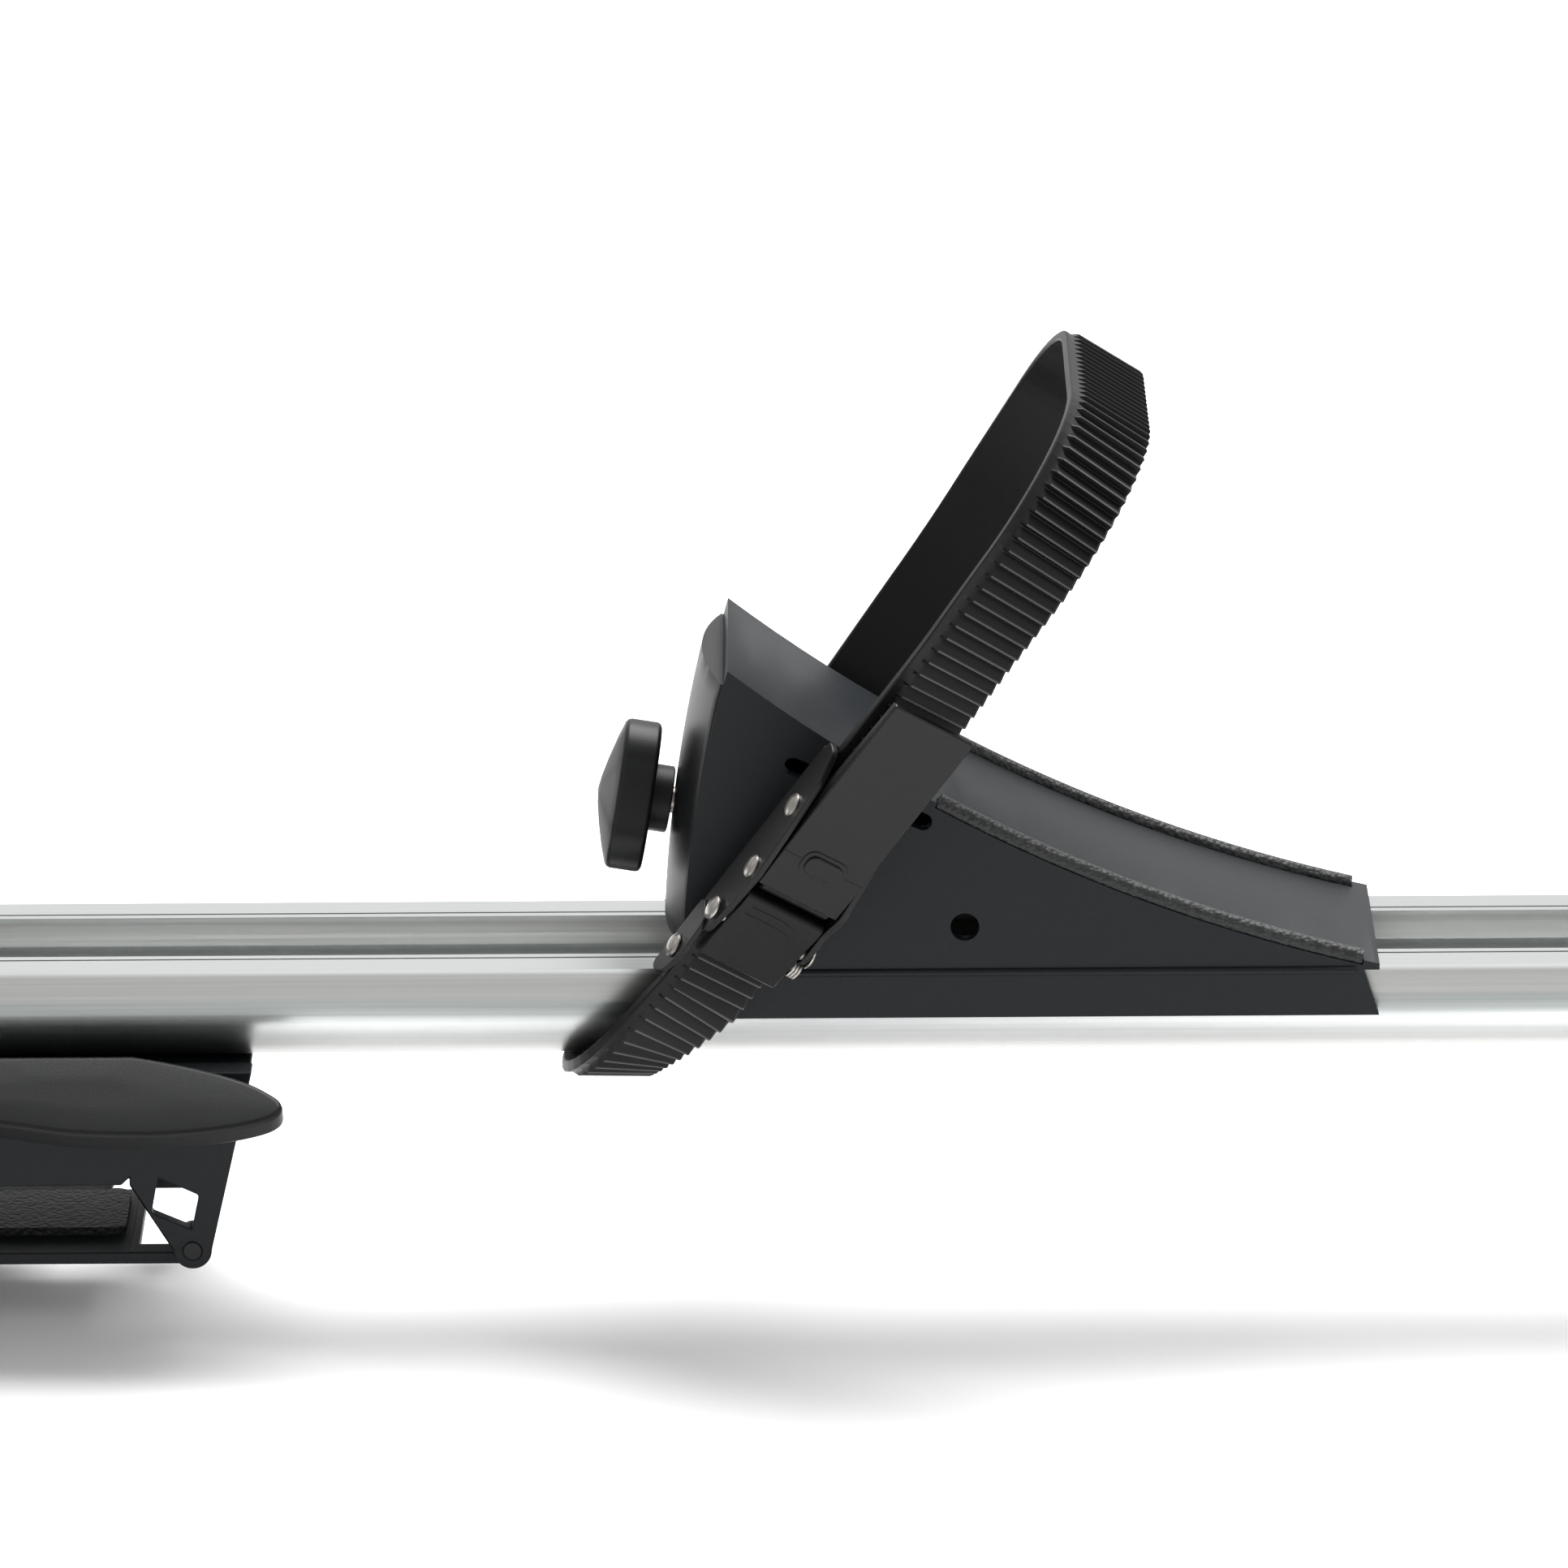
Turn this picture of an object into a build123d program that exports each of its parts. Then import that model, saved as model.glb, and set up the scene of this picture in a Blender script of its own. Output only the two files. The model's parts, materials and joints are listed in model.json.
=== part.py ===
"""Roof mounted bike carrier: rail, two quick clamp feet, two wheel chocks with ratchet straps,
and a folding arm with a frame clamp. Millimetres; +X is the bike's forward direction, +Y is the
far side and +Z is up. The origin is under the middle of the front foot, on the roof bar."""

from build123d import *
from math import asin, cos, degrees, radians, sin, sqrt, tan
import os

os.makedirs("parts", exist_ok=True)

# Fits
gap = 0.3                  # between faces of pieces that move past each other
running = 0.05             # radial clearance of a pin in its bore
cut = 60.0                 # overrun of a cutting tool

# Rail
rail_length = 1450.0
rail_front = 470.0         # front end of the rail, ahead of the front foot's centre
rail_width = 46.5
rail_height = 24.3
rail_wall = 2.0
rail_corner = 16.5         # outer radius of the two lower corners
lip_width = 10.25          # flat top of each inward lip
lip_return = 6.7           # depth of the lip's downturned inner edge
groove_width = 0.8         # fine line along each lip
groove_inset = 2.4
groove_depth = 0.5
cap_flange = 3.0
cap_overlap = 1.2          # the cap stands this much proud of the rail's outline
cap_plug = 14.0

# Foot
foot_height = 25.7         # from the roof bar to the rail's underside
foot_length = 144.0
foot_front = 74.6          # far end of the saddle walls, over the ears
foot_width = 61.0
foot_block_end = 50.0      # the solid part of the body ends here, ahead of its centre
foot_end_slope = 5.0       # the end wall leans by this much over the body's height
foot_bridge = 5.0          # plate over the open end
seat_pad = 2.0             # rubber between the body and the roof bar
saddle_rise = 3.0          # walls beside the rail's lower corners
ear_wall = 3.2
ear_round = 4.3
jaw_pivot_x = 60.5
jaw_pivot_z = -13.6
jaw_pin_r = 2.0
jaw_plate = 2.7
jaw_floor = 1.5
jaw_rim = 1.8
jaw_arm = 6.0              # width of each arm that reaches to its hinge
jaw_back = -66.0           # rear end of the jaw
jaw_pad_height = 1.9
shaft_x = -50.0            # axis of the lever's cam shaft
shaft_z = 11.0
shaft_r = 5.0
cam_throw = 7.0
crank_r = 2.5
cam_web = 3.0
bolt_r = 3.0
yoke_width = 8.0
yoke_wall = 3.0
yoke_slack = 2.0           # room over the crank, which moves a little unevenly
nut_r = 10.0
nut_height = 9.0
nut_dome = 7.0
lever_width = 22.0
lever_thick = 6.5
lever_tilt = 38.0
lever_tip = 82.8
lever_near = 17.0          # how far the lever's near edge stands out from its hub side
lever_foot_z = 20.1        # height of its near edge
lever_low_shares = ((0.21, 0.17), (0.43, 0.036), (0.62, 0.01), (0.86, 0.09), (0.985, 0.23))
lever_high_shares = ((0.985, 0.45), (0.91, 0.62), (0.75, 0.84), (0.53, 1.02), (0.21, 1.09))
lever_tip_share = 0.34
jaw_notch_share = 0.68             # notch in the jaw's far edge, as a share of the foot's block
hub_r = 11.0
screw_r = 3.0
screw_head_r = 5.2
screw_head = 5.0
rail_nut = 10.0
rail_nut_thick = 4.0
foot_screw_span = 50.0
rear_foot_inset = 330.0    # from the rail's rear end to the rear foot
rear_foot_travel = 80.0

# Wheel chock, measured from the point of the rail's top under the wheel's centre
front_wheel_inset = 64.0   # from the rail's front end to the front wheel's centre
rear_wheel_inset = 286.0   # from the rail's rear end to the rear wheel's centre
cradle_r = 364.0
cradle_sink = 7.8          # the cradle's circle dips this far below the rail's top
chock_back = -240.0        # foot of the end cover
chock_front = -81.4
chock_height = 70.0
chock_width = 54.0
chock_wall = 3.0
end_bow = 2.4              # belly of the end wall, seen from the side
end_lean = 10.4            # how far the end wall leans over its height
cover_bulge = 4.3          # belly of the end cover, seen from above
cover_wall = 2.4
cover_foot = 6.0
skirt_depth = 10.6
skirt_gap = 0.35
bead_r = 0.9
edging_r = 1.9
hole_x = -173.2
hole_z = 10.6
hole_r = 3.2
slot_x = -196.7
slot_z = 41.7
slot_length = 35.4
slot_height = 4.0
slot_fall = 24.5
knob_tilt = 9.5
knob_axis_z = 31.6
knob_r = 17.6
knob_thick = 8.6
knob_stem_r = 7.5
knob_stand_off = 5.0
knob_lobes = 3
knob_turn = -105.0         # where the first lobe points, from straight up
knob_lobe_shares = ((-24, 1.0), (24, 1.0), (60, 0.72))
rib_shares = (0.12, 0.5, 0.8)
chock_screw_r = 3.0
chock_screw_reach = 30.0
rocker_x = -200.0
rocker_z = 14.0
rocker_pin_r = 3.0
rocker_arm = 6.0
rocker_neck = 20.0
rocker_foot_width = 34.0
rocker_foot_thick = 5.6

# Strap loop round rail and wheel, from the buckle down, under the rail and back over the crown
strap_angle = 57.8         # below the horizontal, towards the rear
strap_skew = 13.0          # turn of the near run's face
strap_narrowing = 0.197    # how fast the near run closes in towards the rail
strap_width = 20.0
strap_thick = 3.4
strap_under = 1.8          # room under the rail
strap_belly_half = 52.6
strap_belly_in = 34.0      # from the cradle's arc in to the belly
strap_crown_near = 56.0
strap_crown_far = 44.0
strap_crown_in = 96.0      # from the cradle's arc in to the crown
strap_crown_lead = 2.5
strap_far_lead = 5.0
strap_bottom_lead = 7.0   # how far the band runs forward while it passes under the rail
strap_corner_top = 26.0
strap_corner_near = 34.0
strap_corner_side = 90.0
strap_corner_low = 24.0
strap_step = 9.0           # between the points that shape its straight runs
strap_arc_steps = 7
strap_sweep = 6.0                  # how far the lower bend is pushed backward along the rail
strap_near_tilt_shares = (0.13, 0.33)    # how far the width leans downward and sideways in the bend
strap_far_tilt_shares = (0.1, 0.3)       # the same at the far side of the rail
strap_lean_share = 0.1             # how far the width leans sideways at the wheel

# Ratchet buckle, along the strap from its middle
buckle_along = 41.79       # from the belly down to the buckle's middle
buckle_wall = 1.5
buckle_inner = 21.2        # between the side walls
buckle_floor = 1.5
buckle_top = -10.0
buckle_end = 44.0
lever_pin_along = 20.0
pawl_pin_along = 34.0
strap_rivet_along = 49.0
buckle_pin_r = 1.6
buckle_pin_up = 4.2
rivet_head_r = 3.0
rivet_head = 1.0
ratchet_lever_back = -33.0
ratchet_lever_thick = 3.0
ratchet_lever_up = 8.0
nub_length = 9.0
pawl_end = 45.0

# Frame arm
arm_x = -45.0
arm_pivot_up = 29.0        # pivot above the rail's top
arm_lean = 10.0
arm_reach = 420.0
arm_tube_depth = 34.0
arm_tube_width = 28.0
arm_tube_wall = 2.2
arm_tube_round = 9.0
arm_pin_r = 5.0
knuckle_r = 17.0
knuckle_length = 24.0
knuckle_spigot = 26.0
base_length = 92.0
base_floor = 5.0
base_cheek = 5.0
base_skirt = 10.0
head_length = 34.0
head_depth = 40.0
head_width = 62.0
claw_height = 64.0
claw_thick = 9.0
claw_width = 28.0
claw_gap = 40.0
claw_pad = 5.0
claw_pin_r = 3.0
claw_pin_up = 14.0
spindle_r = 4.0
spindle_up = 46.0
head_knob_r = 22.0
head_knob_thick = 20.0

# Worked out from the above
wheel_centre_height = cradle_r - cradle_sink
rear_foot_at = rail_front - rail_length + rear_foot_inset
wheel_places = {"front": rail_front - front_wheel_inset,
                "rear": rail_front - rail_length + rear_wheel_inset}
rail_bottom = foot_height
rail_top = rail_bottom + rail_height
slot_gap = rail_width - 2 * lip_width
rail_floor = rail_bottom + rail_wall
lip_under = rail_top - lip_return


def flat(*points):
    """A flat face through points, facing up whichever way round they are given."""
    turned = sum(a[0] * b[1] - b[0] * a[1] for a, b in zip(points, points[1:] + points[:1]))
    return Polygon(*(points if turned > 0 else points[::-1]), align=None)


def side_cut(face, y_low, y_high):
    """Extrude an X-Z outline from y_low to y_high."""
    return Pos(0, y_high, 0) * extrude(Plane.XZ * face, amount=y_high - y_low, dir=(0, -1, 0))


def end_cut(face, x_low, x_high):
    """Extrude a Y-Z outline from x_low to x_high."""
    return Pos(x_low, 0, 0) * extrude(Plane.YZ * face, amount=x_high - x_low, dir=(1, 0, 0))


def block(x_low, x_high, y_low, y_high, z_low, z_high):
    """A box between the given faces."""
    size = (x_high - x_low, y_high - y_low, z_high - z_low)
    middle = ((x_low + x_high) / 2, (y_low + y_high) / 2, (z_low + z_high) / 2)
    return Pos(*middle) * Box(*size)


def rod_y(x, z, radius, y_low, y_high):
    """A round bar along Y."""
    return Pos(x, (y_low + y_high) / 2, z) * Rot(90, 0, 0) * Cylinder(radius, y_high - y_low)


def rod_z(x, y, radius, z_low, z_high):
    """An upright round bar."""
    return Pos(x, y, (z_low + z_high) / 2) * Cylinder(radius, z_high - z_low)


def group(pieces):
    """Separate solids that share one node."""
    solids = []
    for piece in pieces:
        solids.extend(piece.solids())
    return Compound(children=solids)


def rail_outline(inset, top):
    """The rail's outer shape, drawn in by an inset, up to a given height."""
    half = rail_width / 2 - inset
    low = rail_bottom + inset
    radius = rail_corner - inset
    sheet = flat((-half, low), (half, low), (half, top), (-half, top))
    corners = sheet.vertices().sort_by(Axis.Y)[:2]
    return fillet(corners, radius)


def make_rail():
    """Channel with inward lips whose inner edges turn down, and a slot for the rear foot."""
    section = rail_outline(0, rail_top) - rail_outline(rail_wall, rail_top - rail_wall)
    section -= Pos(0, rail_top) * Rectangle(slot_gap, 2 * rail_wall)
    for side in (-1, 1):
        inner = side * slot_gap / 2
        outer = side * (slot_gap / 2 + rail_wall)
        section += flat((inner, lip_under), (outer, lip_under), (outer, rail_top), (inner, rail_top))
        groove_at = side * (slot_gap / 2 + groove_inset)
        section -= Pos(groove_at, rail_top) * Rectangle(groove_width, 2 * groove_depth)
    rail = end_cut(section, rail_front - rail_length, rail_front)
    slot_reach = rear_foot_travel + foot_screw_span + 3 * screw_r
    slot = Pos(rear_foot_at, 0, rail_bottom) * extrude(
        SlotOverall(slot_reach, 2 * (screw_r + gap)), amount=rail_wall, both=True)
    rail -= slot
    for hole_at in (-foot_screw_span / 2, foot_screw_span / 2):
        rail -= rod_z(hole_at, 0, screw_r + gap, rail_bottom - rail_wall, rail_floor + rail_wall)
    return rail


def make_end_cap(end_x, outward):
    """Moulded cap: a flange over the rail's end and a plug inside the channel."""
    flange_face = rail_outline(-cap_overlap, rail_top + cap_overlap)
    low, high = sorted((end_x, end_x + outward * cap_flange))
    cap = end_cut(flange_face, low, high)
    low, high = sorted((end_x, end_x - outward * cap_plug))
    half = rail_width / 2
    plug = end_cut(rail_outline(rail_wall + gap, rail_top), low, high)
    cap += plug & block(low, high, -half, half, rail_bottom, lip_under - gap)
    neck = slot_gap / 2 - gap
    cap += block(low, high, -neck, neck, lip_under - 2 * gap, rail_top)
    return cap


# Foot, built about its own centre


def make_foot_body():
    """Body with a saddle for the rail, two hinge ears with a window, and a cam pocket."""
    half = foot_width / 2
    rear = -foot_length / 2
    side_top = rail_bottom + saddle_rise
    outline = flat((rear, side_top), (rear + foot_end_slope, seat_pad),
                   (foot_block_end - foot_bridge, seat_pad), (foot_block_end, seat_pad + foot_bridge),
                   (foot_block_end, side_top))
    body = side_cut(outline, -half, half)
    ear_tip = jaw_pivot_x + ear_round
    slope = (foot_front - ear_tip) / (side_top - jaw_pivot_z)
    bridge_low = rail_bottom - foot_bridge
    bridge_end = foot_front - slope * (side_top - bridge_low)
    bridge = flat((foot_block_end, bridge_low), (bridge_end, bridge_low), (foot_front, side_top),
                  (foot_block_end, side_top))
    body += side_cut(bridge, -half, half)
    ear = flat((foot_block_end - ear_wall, seat_pad), (jaw_pivot_x - ear_round, jaw_pivot_z),
               (ear_tip, jaw_pivot_z), (foot_front, side_top), (foot_block_end - ear_wall, side_top))
    window = flat((foot_block_end + ear_wall, seat_pad + 0.6 * ear_wall),
                  (jaw_pivot_x + 0.4 * ear_round, -0.1 * ear_wall),
                  (jaw_pivot_x, jaw_pivot_z + 1.2 * ear_round),
                  (foot_block_end + 0.5 * ear_wall, -1.4 * ear_wall))
    for low in (-half, half - ear_wall):
        plate = side_cut(ear, low, low + ear_wall)
        plate += rod_y(jaw_pivot_x, jaw_pivot_z, ear_round, low, low + ear_wall)
        plate -= side_cut(window, low - gap, low + ear_wall + gap)
        body += plate
    saddle_half = rail_width / 2 + gap
    body -= block(rear - cut, foot_front + cut, -saddle_half, saddle_half, rail_bottom,
                  rail_bottom + cut)
    reach = cam_throw + crank_r + yoke_wall + 2 * gap
    pocket_half = yoke_width / 2 + cam_web + 2 * gap
    body -= block(shaft_x - reach, shaft_x + cam_throw + gap, -pocket_half, pocket_half, 0,
                  rail_bottom + gap)
    body -= rod_y(shaft_x, shaft_z, shaft_r + running, -half - gap, half + gap)
    body -= rod_y(jaw_pivot_x, jaw_pivot_z, jaw_pin_r + running, -half - gap, half + gap)
    for at in (-foot_screw_span / 2, foot_screw_span / 2):
        body -= rod_z(at, 0, screw_r + gap, 0, rail_bottom + gap)
        body -= rod_z(at, 0, screw_head_r + gap, 0, seat_pad + screw_head)
    return body


def make_seat_pad():
    """Rubber sheet between the body and the roof bar, clear of the pocket and the screws."""
    edge = foot_width / 2 - ear_wall
    start = shaft_x + cam_throw + crank_r + seat_pad
    pad = block(start, foot_block_end - foot_bridge - seat_pad, -edge, edge, 0, seat_pad)
    pad = fillet(pad.edges().filter_by(Axis.Z), seat_pad)
    for at in (-foot_screw_span / 2, foot_screw_span / 2):
        pad -= rod_z(at, 0, screw_head_r + gap, -gap, seat_pad + gap)
    return pad


def make_foot_screws():
    """Two screws up into the rail, each with a square nut on the channel's floor."""
    pieces = []
    for at in (-foot_screw_span / 2, foot_screw_span / 2):
        head_top = seat_pad + screw_head
        screw = rod_z(at, 0, screw_head_r, seat_pad, head_top)
        screw -= Pos(at, 0, seat_pad) * extrude(RegularPolygon(0.5 * screw_head_r, 6), amount=3 * gap,
                                               both=True)
        screw += rod_z(at, 0, screw_r, head_top, rail_floor + rail_nut_thick)
        half = rail_nut / 2
        nut = block(at - half, at + half, -half, half, rail_floor, rail_floor + rail_nut_thick)
        nut -= rod_z(at, 0, screw_r, rail_floor - gap, rail_floor + rail_nut_thick + gap)
        pieces += [screw, nut]
    return group(pieces)


def make_jaw():
    """Tray shaped lower jaw with two hinge arms, a notch and a hole for the tension bolt."""
    half = foot_width / 2 - ear_wall - gap
    low = jaw_pivot_z - ear_round
    top = low + jaw_plate
    front = jaw_pivot_x - ear_round * 0.6
    jaw = block(jaw_back, front, -half, half, low, top)
    well_start = shaft_x + nut_r + 2 * jaw_rim
    jaw -= block(well_start, foot_block_end - 2 * jaw_rim, -half + jaw_rim, half - jaw_rim,
                 low + jaw_floor, top + gap)
    notch_mid = jaw_notch_share * foot_block_end
    jaw -= block(notch_mid - 4 * jaw_plate, notch_mid + 4 * jaw_plate, half / 2 + 2 * jaw_rim,
                 half + gap, low - gap, top + gap)
    jaw += rod_y(jaw_pivot_x, jaw_pivot_z, ear_round - gap, -half, half)
    jaw -= block(foot_block_end - jaw_rim, foot_front, -half + jaw_arm, half - jaw_arm, low - gap,
                 foot_front)
    jaw += rod_z(shaft_x, 0, nut_r + jaw_rim, low, top + jaw_rim)
    jaw -= rod_z(shaft_x, 0, bolt_r + cam_throw / 4, low - gap, top + 2 * jaw_rim)
    jaw -= rod_y(jaw_pivot_x, jaw_pivot_z, jaw_pin_r + running, -half - gap, half + gap)
    return jaw


def make_jaw_pad():
    """Grained rubber pad that lies in the middle of the jaw's tray."""
    half = foot_width / 2 - ear_wall - gap - jaw_rim
    low = jaw_pivot_z - ear_round + jaw_floor
    start = shaft_x + nut_r + 3 * jaw_rim
    pad = block(start, foot_block_end - 3 * jaw_rim, -half / 2, half / 2, low, low + jaw_pad_height)
    return fillet(pad.edges().filter_by(Axis.Z), 2 * jaw_rim)


def make_jaw_pin():
    """Short pins through the ears into the jaw's arms, one on each side."""
    half = foot_width / 2
    inner = half - ear_wall - gap - jaw_arm
    return group([rod_y(jaw_pivot_x, jaw_pivot_z, jaw_pin_r, *sorted((side * inner, side * half)))
                  for side in (-1, 1)])


def lever_plane():
    """The lever's own plane: x runs along the rail, y up its sloping face."""
    origin = (0, -foot_width / 2 - gap - lever_near, lever_foot_z)
    return Plane(origin=origin, x_dir=(1, 0, 0),
                 z_dir=(0, -sin(radians(lever_tilt)), cos(radians(lever_tilt))))


def lever_edge(shares):
    """Points of one long edge of the lever's leaf."""
    return [(along * lever_tip, up * lever_width) for along, up in shares]


def make_lever():
    """Leaf shaped quick lever that grows out of a round hub beside the body."""
    neck = shaft_x + hub_r
    low = [(neck, 0.3 * lever_width)] + lever_edge(lever_low_shares)
    high = lever_edge(lever_high_shares) + [(neck, 0.92 * lever_width)]
    tip = ThreePointArc(low[-1], (lever_tip, lever_tip_share * lever_width), high[0])
    leaf = make_face([Spline(*low), tip, Spline(*high), Line(high[-1], low[0])])
    down = lever_plane().z_dir * -1
    blade = extrude(lever_plane() * leaf, amount=lever_thick, dir=down)
    inner = -foot_width / 2 - gap
    hub = rod_y(shaft_x, shaft_z, hub_r, inner - lever_near + gap, inner)
    root = flat((shaft_x, shaft_z - hub_r * 0.4), (neck + hub_r, shaft_z + hub_r * 0.3),
                (neck + hub_r, shaft_z + hub_r * 1.1), (shaft_x, shaft_z + hub_r))
    lever = blade + hub + side_cut(root, inner - lever_near + lever_thick, inner)
    lever -= block(-cut * 2, cut * 2, inner, cut, 0, cut)
    lever -= rod_y(shaft_x, shaft_z, shaft_r, inner - lever_near / 2, inner + gap)
    return lever


def make_cam_shaft():
    """Shaft turned by the lever, with a crank between two webs that pulls the tension bolt."""
    half = foot_width / 2
    web_in = yoke_width / 2 + gap
    shaft = rod_y(shaft_x, shaft_z, shaft_r, -half - gap - lever_near / 2, -web_in)
    shaft += rod_y(shaft_x, shaft_z, shaft_r, web_in, half)
    web = RectangleRounded(2 * crank_r + gap, cam_throw + 2 * crank_r, crank_r)
    for low in (-web_in - cam_web, web_in):
        shaft += side_cut(Pos(shaft_x, shaft_z + cam_throw / 2) * web, low, low + cam_web)
    shaft += rod_y(shaft_x, shaft_z + cam_throw, crank_r, -web_in, web_in)
    return shaft


def make_tension_bolt():
    """Bolt with a closed yoke at its top that the crank runs in."""
    slot_low = shaft_z + cam_throw - crank_r - gap
    slot_high = shaft_z + cam_throw + crank_r + yoke_slack
    left = shaft_x - cam_throw - crank_r - gap
    right = shaft_x + crank_r + gap
    half = yoke_width / 2
    yoke = block(left - yoke_wall, right + yoke_wall, -half, half, slot_low - yoke_wall,
                 slot_high + yoke_wall)
    yoke -= block(left, right, -half - gap, half + gap, slot_low, slot_high)
    bolt_low = jaw_pivot_z - ear_round - gap - nut_height - 2 * bolt_r
    return yoke + rod_z(shaft_x, 0, bolt_r, bolt_low, slot_low - yoke_wall)


def make_height_nut():
    """Lobed hand nut under the jaw, with a narrow crown so that the jaw can tilt on it."""
    top = jaw_pivot_z - ear_round - gap
    low = top - nut_height
    nut = rod_z(shaft_x, 0, nut_r, low, top - 4 * gap)
    for lobe in range(6):
        angle = radians(60 * lobe)
        nut -= rod_z(shaft_x + 1.1 * nut_r * cos(angle), 1.1 * nut_r * sin(angle), nut_r / 4,
                     low - gap, top + gap)
    nut += rod_z(shaft_x, 0, nut_dome, low, top)
    nut -= rod_z(shaft_x, 0, bolt_r + running, low - gap, top + gap)
    return nut


# Wheel chock, built with the rail's top at zero height and the wheel's centre above the origin


def cradle_height(x, radius):
    """Height of a circle about the wheel's centre, above a place on the rail."""
    return wheel_centre_height - sqrt(radius ** 2 - x ** 2)


def cradle_end(height, radius):
    """Where a circle about the wheel's centre comes down to a height."""
    return -sqrt(radius ** 2 - (wheel_centre_height - height) ** 2)


def wedge_outline(inset, low, back):
    """Side view of the chock: leaning back edge, cradle arc and foot, drawn in by an inset."""
    radius = cradle_r + inset
    start = back + inset
    top_x = start + end_lean
    top = (top_x, cradle_height(top_x, radius))
    front = (cradle_end(low, radius), low)
    middle_x = (top_x + front[0]) / 2
    edges = [
        ThreePointArc((start, low), (start + end_lean / 2 - end_bow, chock_height / 2), top),
        ThreePointArc(top, (middle_x, cradle_height(middle_x, radius)), front),
        Line(front, (start, low)),
    ]
    return make_face(edges)


def cover_arc():
    """Centre and radius of the end cover's middle line, seen from the side."""
    top_x = chock_back + end_lean
    return circle_through((chock_back, 0), (chock_back + end_lean / 2 - end_bow, chock_height / 2),
                          (top_x, cradle_height(top_x, cradle_r)))


def screw_plane(along):
    """Plane across the clamping screw, at a distance outward from the end cover."""
    tilt = radians(knob_tilt)
    centre_x, centre_z, radius = cover_arc()
    start_x = centre_x - sqrt(radius ** 2 - (knob_axis_z - centre_z) ** 2)
    origin = (start_x - along * cos(tilt), 0, knob_axis_z + along * sin(tilt))
    return Plane(origin=origin, x_dir=(0, -1, 0), z_dir=(-cos(tilt), 0, sin(tilt)))


def make_shell():
    """Hollow moulding that stands on the rail's lips, with skirts down its sides."""
    half = chock_width / 2
    inner = rail_width / 2 + skirt_gap
    back = chock_back + cover_bulge
    shell = side_cut(wedge_outline(0, 0, back), -half, half)
    shell &= block(chock_back, chock_front, -half, half, 0, 2 * chock_height)
    shell -= side_cut(wedge_outline(chock_wall, -gap, back), -inner, inner)
    inside = side_cut(wedge_outline(chock_wall / 2, 0, back), -inner - gap, inner + gap)
    for rib_share in rib_shares:
        rib_x = back + rib_share * (chock_front - back)
        shell += inside & block(rib_x, rib_x + chock_wall, -half, half, 0, chock_height)
    room = rocker_foot_width / 2 + gap
    shell -= block(rocker_x - 4 * rocker_arm, rocker_x + 2 * rocker_arm, -room, room, -gap,
                   rocker_z + 2 * rocker_arm)
    skirt = flat((back, 0), (back, -skirt_depth), (chock_front, -skirt_depth),
                 (chock_front - skirt_depth / 3, 0))
    slot = Pos(slot_x, slot_z) * Rot(0, 0, -slot_fall) * SlotOverall(slot_length, slot_height)
    for side in (-1, 1):
        low, high = sorted((side * inner, side * half))
        shell += side_cut(skirt, low, high)
        shell += end_cut(Pos(side * half, 0) * Circle(bead_r), back + cover_bulge,
                         chock_front - skirt_depth / 2)
        shell -= side_cut(slot, low - gap - bead_r, high + gap + bead_r)
        shell -= rod_y(hole_x, hole_z, hole_r, low - gap, high + gap)
    pin_end = (chock_width - chock_wall) / 2
    shell -= rod_y(rocker_x, rocker_z, rocker_pin_r + running, -pin_end, pin_end)
    shell -= screw_plane(-chock_screw_reach - 2 * gap) * extrude(
        Circle(chock_screw_r + gap), amount=cut)
    return shell - make_edging(edging_r + gap)


def circle_through(first, middle, last):
    """Centre and radius of the circle through three points of a plane."""
    ax, ay = middle[0] - first[0], middle[1] - first[1]
    bx, by = last[0] - first[0], last[1] - first[1]
    double = 2 * (ax * by - ay * bx)
    across = (by * (ax * ax + ay * ay) - ay * (bx * bx + by * by)) / double
    up = (ax * (bx * bx + by * by) - bx * (ax * ax + ay * ay)) / double
    return first[0] + across, first[1] + up, sqrt(across * across + up * up)


def make_end_cover():
    """Bowed outer skin over the shell's back wall, fullest at its middle."""
    half = (chock_width - cover_wall) / 2
    centre_x, centre_z, radius = cover_arc()
    start = asin((cover_foot - centre_z) / radius)
    finish = asin((chock_height - cover_foot / 3 - centre_z) / radius)
    segment = make_face([
        ThreePointArc((radius - cover_bulge, -half), (radius, 0), (radius - cover_bulge, half)),
        Line((radius - cover_bulge, half), (radius - 1.5 * cover_bulge, half)),
        Line((radius - 1.5 * cover_bulge, half), (radius - 1.5 * cover_bulge, -half)),
        Line((radius - 1.5 * cover_bulge, -half), (radius - cover_bulge, -half)),
    ])
    outward = (-cos(start), 0, sin(start))
    plane = Plane(origin=(centre_x, 0, centre_z), x_dir=outward, z_dir=(-sin(start), 0, -cos(start)))
    axis = Axis((centre_x, 0, centre_z), (0, 1, 0))
    cover = revolve(plane * segment, axis, revolution_arc=degrees(finish - start))
    cover -= side_cut(wedge_outline(0, 0, chock_back + cover_bulge), -cut, cut)
    cover -= screw_plane(-cut / 4) * extrude(Circle(chock_screw_r + gap), amount=cut)
    return cover


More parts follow.
